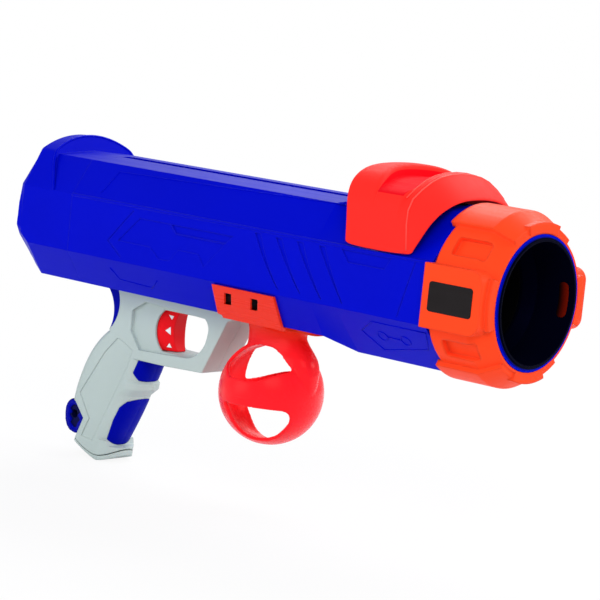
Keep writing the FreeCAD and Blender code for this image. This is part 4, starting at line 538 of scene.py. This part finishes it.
# the rounding keeps the nose's ridge and the pocket's edges firm
firm_rows = np.zeros(count)
firm_rows[[7, 8, 12, 15, 16]] = [0.5, 0.5, 0.6, 0.7, 0.7]
ends = np.empty(2 * len(saddle.data.edges), np.int32)
saddle.data.edges.foreach_get("vertices", ends)
end_row, end_column = np.divmod(ends.reshape(-1, 2), width)
along_row = (end_row[:, 0] == end_row[:, 1]) & ((end_column > 4) & (end_column < width - 5)).all(axis=1)
crease = saddle.data.attributes.new("crease_edge", "FLOAT", "EDGE")
crease.data.foreach_set("value", np.where(along_row, firm_rows[end_row[:, 0]], 0.0))
rounder = saddle.modifiers.new("rounding", "SUBSURF")
rounder.levels = rounder.render_levels = 3

# beads along the nose's ridge and the pocket's front, in a paler red that is a painted highlight
painted_highlight_red = moulded("painted_highlight_red", (1.0, 0.085, 0.070), 0.4, level=0.2, glint=0.0)
brow = saddle_row(nose, ridge - 0.1, 0.85, whole=True)[1:-1]
back_brow = saddle_row(nose, 71.2, 0.3)[4:-4]
points, faces = bead([brow / 1000.0, back_brow / 1000.0], 0.00045)
piece("saddle_edge", points, faces, painted_highlight_red, "slide")

# ---------------------------------------------------------------- grip
# A two-part grey pistol grip with a soft satin grain, soft blue inlays pressed into it, a blue
# block for the wrist cord behind its foot and a grey cap on its butt.
grip_grey = moulded("grip_grey", (0.44, 0.525, 0.50), 0.5, level=0.25, edge=0.0015, glint=0.2, grain=0.12)
dress(["grip_left", "grip_right", "butt_cap"], grip_grey)
inlay_blue = moulded("inlay_blue", (0.0, 0.002, 0.32), 0.55, level=0.08, edge=0.001, grain=0.25)
dress(["inlay_upper", "inlay_lower", "backstrap"], inlay_blue)
block_dark = moulded("block_dark", (0.002, 0.003, 0.045), 0.55, level=0.15, grain=0.2)
dress(["lanyard_block"], block_dark)

# the frame beside the block and its opening: distances behind the muzzle and below the axis
frame_outline = np.array([
    (363.9, 127.7), (360.4, 131.7), (356.0, 136.9), (356.2, 138.6), (358.3, 143.6), (360.7, 149.2),
    (362.8, 149.7), (365.8, 149.9), (370.3, 148.7), (373.1, 146.2), (375.0, 142.2), (375.6, 137.4),
    (375.5, 133.8), (374.4, 130.6), (372.6, 128.6), (369.8, 127.1),
])
frame_opening = np.array([
    (365.3, 130.6), (363.2, 132.6), (361.0, 134.8), (363.6, 137.4), (360.8, 140.2), (363.4, 143.0),
    (363.6, 145.4), (366.0, 146.6), (368.4, 145.2), (370.6, 143.4), (369.0, 140.8), (371.8, 138.2),
    (369.4, 136.0), (371.6, 133.4), (369.4, 131.4), (367.2, 130.2),
])


def framed(outline, opening, start, end):
    """A flat frame between an outline and an opening of as many points, standing from one distance to
    another off the middle plane: four loops of points joined in a ring of quads."""
    loops = [(outline, start), (outline, end), (opening, end), (opening, start)]
    points = np.concatenate([
        np.column_stack([-loop[:, 0], np.full(len(loop), offset), -loop[:, 1]]) for loop, offset in loops
    ])
    faces = grid_faces(4, len(outline), ring=True, around=True)
    return points / 1000.0, faces if end < start else [face[::-1] for face in faces]


block_low, block_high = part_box("lanyard_block")
block_half = (block_high[1] - block_low[1]) * 500.0
foot, face = block_half - 0.4, block_half + 1.0
for side, name in ((1.0, "cord_frame_left"), (-1.0, "cord_frame_right")):
    points, faces = framed(frame_outline, frame_opening, side * foot, side * face)
    piece(name, points, faces, inlay_blue, "launcher")

# ---------------------------------------------------------------- trigger
# A glossy red sliding trigger, moulded in one, with three small white wedges let into each of
# its flanks.
trigger_red = moulded("trigger_red", (0.88, 0.010, 0.016), 0.34, level=0.2, edge=0.0012, glint=0.2)
dress(["trigger"], trigger_red)
wedge_white = moulded("wedge_white", (0.92, 0.92, 0.92), 0.4, glint=0.0)
# corners of the wedges: distances behind the muzzle and below the axis
wedges = np.array([
    [(290.8, 54.7), (287.4, 55.3), (288.7, 58.2)],
    [(292.3, 65.7), (288.9, 62.4), (288.4, 68.6)],
    [(290.6, 76.9), (288.9, 73.6), (286.9, 76.9)],
])
# the trigger's half thickness grows by 7.0 over 13.4 behind its front edge
front_half, front_at, growth, growth_run, wedge_root = 3.5, 282.6, 7.0, 13.4, 3.4
points, faces = [], []
for side in (1.0, -1.0):
    for corners in wedges:
        middle = corners.mean(axis=0)
        flank = front_half + (corners[:, 0] - front_at) * growth / growth_run
        first = len(points)
        for size, half in ((0.93, np.full(3, wedge_root)), (0.93, flank - 0.25), (0.72, flank - 0.05)):
            loop = middle + size * (corners - middle)
            points.extend(np.column_stack([-loop[:, 0], side * half, -loop[:, 1]]).tolist())
        faces += grid_faces(3, 3, first, around=True)
        faces += [[first, first + 2, first + 1], [first + 6, first + 7, first + 8]]
inserts = piece(
    "trigger_wedges", np.array(points) / 1000.0, faces, wedge_white, "trigger_unit"
)
outwards(inserts.data)

# ---------------------------------------------------------------- ball holder, cage and neck
# A thin glossy red ball shell with four windows, open enough to grip the spare ball in it, and
# the slim neck that flows into it with no hard edge; moulded in one with the bracket.
# painted light: the one moulding is orange-red at the bracket and turns a purer red from 46 to 60 mm below
# the axis
holder_red = moulded(
    "holder_red", (0.86, 0.028, 0.008), 0.26, level=0.3, edge=0.0006, glint=0.18,
    second=([("Z", -0.046, -0.060)], (0.96, 0.014, 0.022)),
)
ball_centre = np.array([-201.0, 0.0, -91.0])
shell_out, shell_in = 34.7, 32.3
# each window's outline, near on the right and far on the left: directions from the cage's centre
windows = {
    "near_upper": [
        (-10.5, -2.6, 33.0), (-15.5, -7.4, 30.2), (-18.6, -10.7, 27.3), (-22.2, -14.8, 22.2),
        (-22.4, -19.8, 17.6), (-17.7, -25.8, 15.0), (-10.7, -31.3, 10.5), (-2.3, -33.0, 10.5),
        (5.0, -32.7, 10.5), (10.0, -31.5, 10.5), (15.0, -28.6, 12.7), (20.1, -23.6, 15.7),
        (25.6, -14.1, 18.6), (25.5, -11.8, 20.4), (23.9, -10.7, 22.7), (20.0, -10.5, 26.4),
        (12.7, -9.2, 31.0), (4.5, -7.7, 33.5), (-3.4, -6.0, 34.0),
    ],
    "near_lower": [
        (-11.7, -32.0, -6.8), (-6.1, -33.4, -7.0), (2.3, -34.0, -6.7), (10.3, -32.5, -6.4),
        (17.9, -29.0, -6.5), (24.9, -23.2, -6.9), (27.9, -19.3, -7.1), (29.5, -16.1, -8.4),
        (29.7, -13.9, -11.2), (28.8, -12.6, -14.8), (26.5, -12.7, -18.5), (21.7, -12.9, -23.8),
        (16.9, -13.4, -27.2), (13.5, -14.3, -28.6), (8.3, -16.3, -29.5), (2.9, -18.4, -29.3),
        (-2.2, -22.0, -26.7), (-5.7, -27.0, -21.0), (-8.3, -30.8, -13.6),
    ],
    "far_upper": [
        (-8.7, 3.0, 33.4), (-18.1, 4.4, 29.3), (-27.0, 7.3, 20.5), (-31.4, 9.0, 11.8),
        (-33.0, 10.1, 3.5), (-31.8, 13.5, 2.6), (-27.5, 20.8, 4.2), (-20.0, 27.3, 7.6),
        (-10.0, 31.5, 10.5), (3.0, 33.0, 10.5), (11.0, 30.6, 12.5), (15.5, 27.4, 15.0),
        (16.4, 24.0, 18.9), (15.2, 20.5, 23.4), (13.4, 16.5, 27.4), (9.0, 11.0, 31.6),
        (3.5, 7.0, 33.8), (-3.4, 4.0, 34.3),
    ],
    "far_lower": [
        (-32.0, 11.0, -8.2), (-28.0, 10.2, -17.7), (-23.2, 9.6, -24.0), (-17.0, 7.8, -29.2),
        (-8.9, 6.4, -32.9), (-2.1, 6.5, -34.1), (4.0, 9.0, -33.3), (10.0, 13.0, -30.6),
        (14.6, 17.4, -26.2), (17.2, 22.2, -20.4), (17.6, 25.8, -14.6), (16.2, 28.4, -10.2),
        (13.0, 30.8, -7.6), (8.0, 33.0, -6.6), (-2.0, 34.0, -6.7), (-10.0, 32.6, -6.6),
        (-18.0, 28.8, -6.5), (-27.0, 20.5, -6.8),
    ],
}


def closed_mesh(name, points, faces):
    """A bare closed mesh object from points in millimetres, welded, its faces turned outwards."""
    mesh = bpy.data.meshes.new(name)
    mesh.from_pydata((np.asarray(points, float) / 1000.0).tolist(), [], faces)
    outwards(mesh, weld=1e-7)
    made = bpy.data.objects.new(name, mesh)
    scene.collection.objects.link(made)
    return made


def globe(name, radius, rows=48, columns=96):
    """A sphere about the cage's centre: rows of latitude from pole to pole, each a full turn of
    longitude."""
    lean = np.linspace(0.0, math.pi, rows + 1)[:, None]
    spin = np.linspace(0.0, 2 * math.pi, columns + 1)[None, :]
    shape = (rows + 1, columns + 1)
    x = np.broadcast_to(np.sin(lean) * np.cos(spin), shape)
    y = np.broadcast_to(np.sin(lean) * np.sin(spin), shape)
    z = np.broadcast_to(np.cos(lean), shape)
    points = ball_centre + radius * np.stack([x, y, z], axis=-1).reshape(-1, 3)
    return closed_mesh(name, points, grid_faces(rows + 1, columns + 1))


def window_plug(name, outline):
    """A plug that widens from inside the cage through a window. The outline's directions are eased
    through their neighbours by a cubic, four points to a side, and taken at two radii, inside and outside
    the shell. At each radius a second loop lies halfway to the middle direction, with a fan over it."""
    way = np.asarray(outline, float)
    before, after, later = np.roll(way, 1, axis=0), np.roll(way, -1, axis=0), np.roll(way, -2, axis=0)
    share = np.arange(4)[:, None, None] / 4.0
    eased = 0.5 * (
        2 * way
        + (after - before) * share
        + (2 * before - 5 * way + 4 * after - later) * share**2
        + (3 * way - before - 3 * after + later) * share**3
    )
    way = eased.transpose(1, 0, 2).reshape(-1, 3)
    way /= np.linalg.norm(way, axis=1)[:, None]
    heart = way.mean(axis=0) / np.linalg.norm(way.mean(axis=0))
    inner = 0.5 * (way + heart)
    inner /= np.linalg.norm(inner, axis=1)[:, None]
    near, far = 0.8, 1.2
    rings = [near * inner, near * way, far * way, far * inner]
    points = np.concatenate(rings + [[near * heart, far * heart]]) * shell_out + ball_centre
    count = len(way)
    here, beside, tip = np.arange(count), np.roll(np.arange(count), -1), np.full(count, 4 * count)
    near_fan = np.column_stack([tip, beside, here])
    far_fan = np.column_stack([tip + 1, 3 * count + here, 3 * count + beside])
    faces = grid_faces(4, count, around=True) + near_fan.tolist() + far_fan.tolist()
    return closed_mesh(name, points, faces)


def shaped_mesh(source):
    """A new mesh: what an object's modifiers make of it."""
    return bpy.data.meshes.new_from_object(source.evaluated_get(bpy.context.evaluated_depsgraph_get()))


def carved(base, *plugs):
    """The base object with the plugs cut out of it; the plugs are removed."""
    for plug in plugs:
        cut = base.modifiers.new(plug.name, "BOOLEAN")
        cut.operation, cut.solver, cut.object = "DIFFERENCE", "EXACT", plug
    mesh = shaped_mesh(base)
    base.modifiers.clear()
    base.data = mesh
    for plug in plugs:
        bpy.data.objects.remove(plug)
    return base


plugs = [globe("ball_room", shell_in)] + [window_plug(name, outline) for name, outline in windows.items()]
cage = carved(globe("cage", shell_out), *plugs)

# levels of the neck, each a rounded rectangle: height, rear end, front end and half width
neck_levels = np.array([
    (-43.0, -223.0, -167.0, 21.0), (-44.6, -223.0, -172.0, 16.5), (-46.6, -222.8, -176.0, 12.6),
    (-49.5, -222.5, -178.2, 10.4), (-53.0, -222.3, -178.0, 9.4), (-57.0, -222.3, -174.6, 9.4),
    (-61.0, -222.3, -170.8, 10.2), (-65.0, -222.3, -167.9, 11.6), (-69.0, -222.3, -166.2, 12.0),
    (-74.0, -221.0, -165.2, 11.6), (-80.0, -218.0, -165.4, 10.4), (-86.0, -214.0, -166.2, 7.6),
    (-92.0, -208.0, -170.0, 3.0),
])
height, tail, front, half_width = neck_levels.T[:, :, None]
angle = np.linspace(0.0, 2 * math.pi, 49)
squareness = 0.7
round_x = np.sign(np.cos(angle)) * np.abs(np.cos(angle)) ** squareness
round_y = np.sign(np.sin(angle)) * np.abs(np.sin(angle)) ** squareness
levels, turns = len(neck_levels), len(angle)
neck_points = np.stack([
    (tail + front) / 2 + (front - tail) / 2 * round_x,
    half_width * round_y,
    np.broadcast_to(height, (levels, turns)),
], axis=-1).reshape(-1, 3)
caps = [list(range(turns - 1)), list(range((levels - 1) * turns, levels * turns - 1))]
neck = carved(
    closed_mesh("neck", neck_points, grid_faces(levels, turns) + caps), globe("ball_room", shell_in)
)

# cage and neck become one skin, relaxed where the neck leaves the bracket and below
joined = bmesh.new()
for part in (cage, neck):
    joined.from_mesh(part.data)
whole = bpy.data.meshes.new("whole")
joined.to_mesh(whole)
joined.free()
for part in (cage, neck):
    bpy.data.objects.remove(part)
rough = bpy.data.objects.new("rough", whole)
scene.collection.objects.link(rough)
remesh = rough.modifiers.new("skin", "REMESH")
remesh.mode = "VOXEL"
remesh.voxel_size = 0.0007
skin = shaped_mesh(rough)
bpy.data.objects.remove(rough)
holder = bpy.data.objects.new("holder_moulding", skin)
scene.collection.objects.link(holder)
heights = np.empty(3 * len(skin.vertices))
skin.vertices.foreach_get("co", heights)
heights = heights[2::3]
soft_part = holder.vertex_groups.new(name="soft_part")
for weight, top, bottom in ((0.3, -0.0438, -0.0448), (0.6, -0.0448, -0.0462), (1.0, -0.0462, -1.0)):
    soft_part.add(np.nonzero((heights <= top) & (heights > bottom))[0].tolist(), weight, "REPLACE")
relax = holder.modifiers.new("relax", "SMOOTH")
relax.factor = 0.5
relax.iterations = 10
relax.vertex_group = "soft_part"
skin.materials.clear()
skin.materials.append(holder_red)
skin.shade_smooth()
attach(holder, "launcher")
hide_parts("ball_holder")

# ---------------------------------------------------------------- ball holder, bracket
# The top of the same moulding, clipped on the housing's two lower facets: the CAD's own bracket
# above the neck, with its four catch slots cut sharp and a thin black sheet of painted shade behind them.
neck_top = (0.0, 0.0, -0.0441)
bracket_mesh = nodes["ball_holder"].data.copy()
build = bmesh.new()
build.from_mesh(bracket_mesh)
bmesh.ops.remove_doubles(build, verts=build.verts, dist=1e-6)
bmesh.ops.bisect_plane(
    build, geom=build.verts[:] + build.edges[:] + build.faces[:],
    plane_co=neck_top, plane_no=(0, 0, 1), clear_inner=True,
)
bmesh.ops.holes_fill(build, edges=[edge for edge in build.edges if edge.is_boundary], sides=0)
build.to_mesh(bracket_mesh)
build.free()
bracket = bpy.data.objects.new("holder_bracket", bracket_mesh)
scene.collection.objects.link(bracket)

# corners of the slots and of the black sheet of painted shade: forward and up
catch_slots = [
    [(-207.6, -25.1), (-201.7, -25.1), (-205.4, -32.9), (-211.6, -32.9)],
    [(-185.2, -25.1), (-179.2, -25.1), (-183.0, -32.9), (-189.2, -32.9)],
]
shade_sheet = [
    (-213.5, -23.8), (-196.0, -23.8), (-177.5, -23.8), (-181.0, -34.6), (-198.0, -34.6), (-214.5, -34.6),
]


def on_lower_facet(corners, depth, side):
    """Corners on the housing's lower facet, at a distance from the barrel's axis along its normal, which
    leans out by 0.806 and down by 0.592."""
    along, height = np.asarray(corners, float).T
    return np.column_stack([along, side * (depth + 0.592 * height) / 0.806, height])


cutters, cutter_depths = [], (51.0, 56.0)
cutter_faces = [[0, 1, 2, 3], [7, 6, 5, 4]] + turned(grid_faces(2, 4, around=True))
for side in (-1.0, 1.0):
    for corners in catch_slots:
        points = np.concatenate([on_lower_facet(corners, depth, side) for depth in cutter_depths])
        cutters.append(closed_mesh("slot_cutter", points, cutter_faces))
carved(bracket, *cutters)
bracket.data.materials.clear()
bracket.data.materials.append(holder_red)
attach(bracket, "launcher")
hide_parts("ball_holder")

# painted shade: a thin black sheet behind the slots stands for the shade inside the housing
shade_sheet_depth = 52.3
points = np.concatenate([on_lower_facet(shade_sheet, shade_sheet_depth, side) for side in (-1.0, 1.0)]) / 1000.0
faces = [[0, 1, 4, 5], [1, 2, 3, 4], [11, 10, 7, 6], [10, 9, 8, 7]]
shade_sheet_piece = piece("slot_shade_sheet", points, faces, black, "launcher")
thick = shade_sheet_piece.modifiers.new("thickness", "SOLIDIFY")
thick.thickness = 0.0003

# ---------------------------------------------------------------- springs
# Three zinc-plated wire coils, hidden inside: the mainspring round the plunger's rod, one behind
# the trigger and a short one behind the sear.


def coil(name, start, end, height, reach, wire, turns):
    """A wound wire: a ring of eight points swept along a helix about a line along the barrel, most of its
    first and last turn lying flat; it stands for the CAD node of the same name (all in millimetres)."""
    lying, steps = 0.8, 28
    spin = np.linspace(0.0, 2 * math.pi * turns, steps * turns + 1)[:, None]
    turned_by = spin / (2 * math.pi)
    climb = np.clip((turned_by - lying) / (turns - 2 * lying), 0.0, 1.0)
    first_lift = 2.0 * wire * np.minimum(turned_by, lying) / lying
    last_lift = 2.0 * wire * np.maximum(turned_by - turns + lying, 0.0) / lying
    along = start + wire + first_lift + last_lift + (end - start - 6.0 * wire) * climb
    round_wire = np.linspace(0.0, 2 * math.pi, 9)[None, :]
    away = reach - wire + wire * np.cos(round_wire)
    points = np.stack([
        along + wire * np.sin(round_wire),
        away * np.cos(spin),
        height + away * np.sin(spin),
    ], axis=-1).reshape(-1, 3)
    last = 9 * (len(spin) - 1)
    caps = [list(range(8)), list(range(last + 7, last - 1, -1))]
    wound = closed_mesh(name + "_coil", points, grid_faces(len(spin), 9) + caps)
    wound.data.materials.append(steel)
    wound.data.shade_smooth()
    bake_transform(wound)
    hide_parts(name)


coil("mainspring", -295.7, -132.4, 0.0, 19.0, 1.1, 14)
coil("trigger_spring", -321.0, -300.4, -74.5, 2.5, 0.35, 7)
coil("sear_spring", -328.7, -320.8, -50.0, 2.5, 0.3, 5)
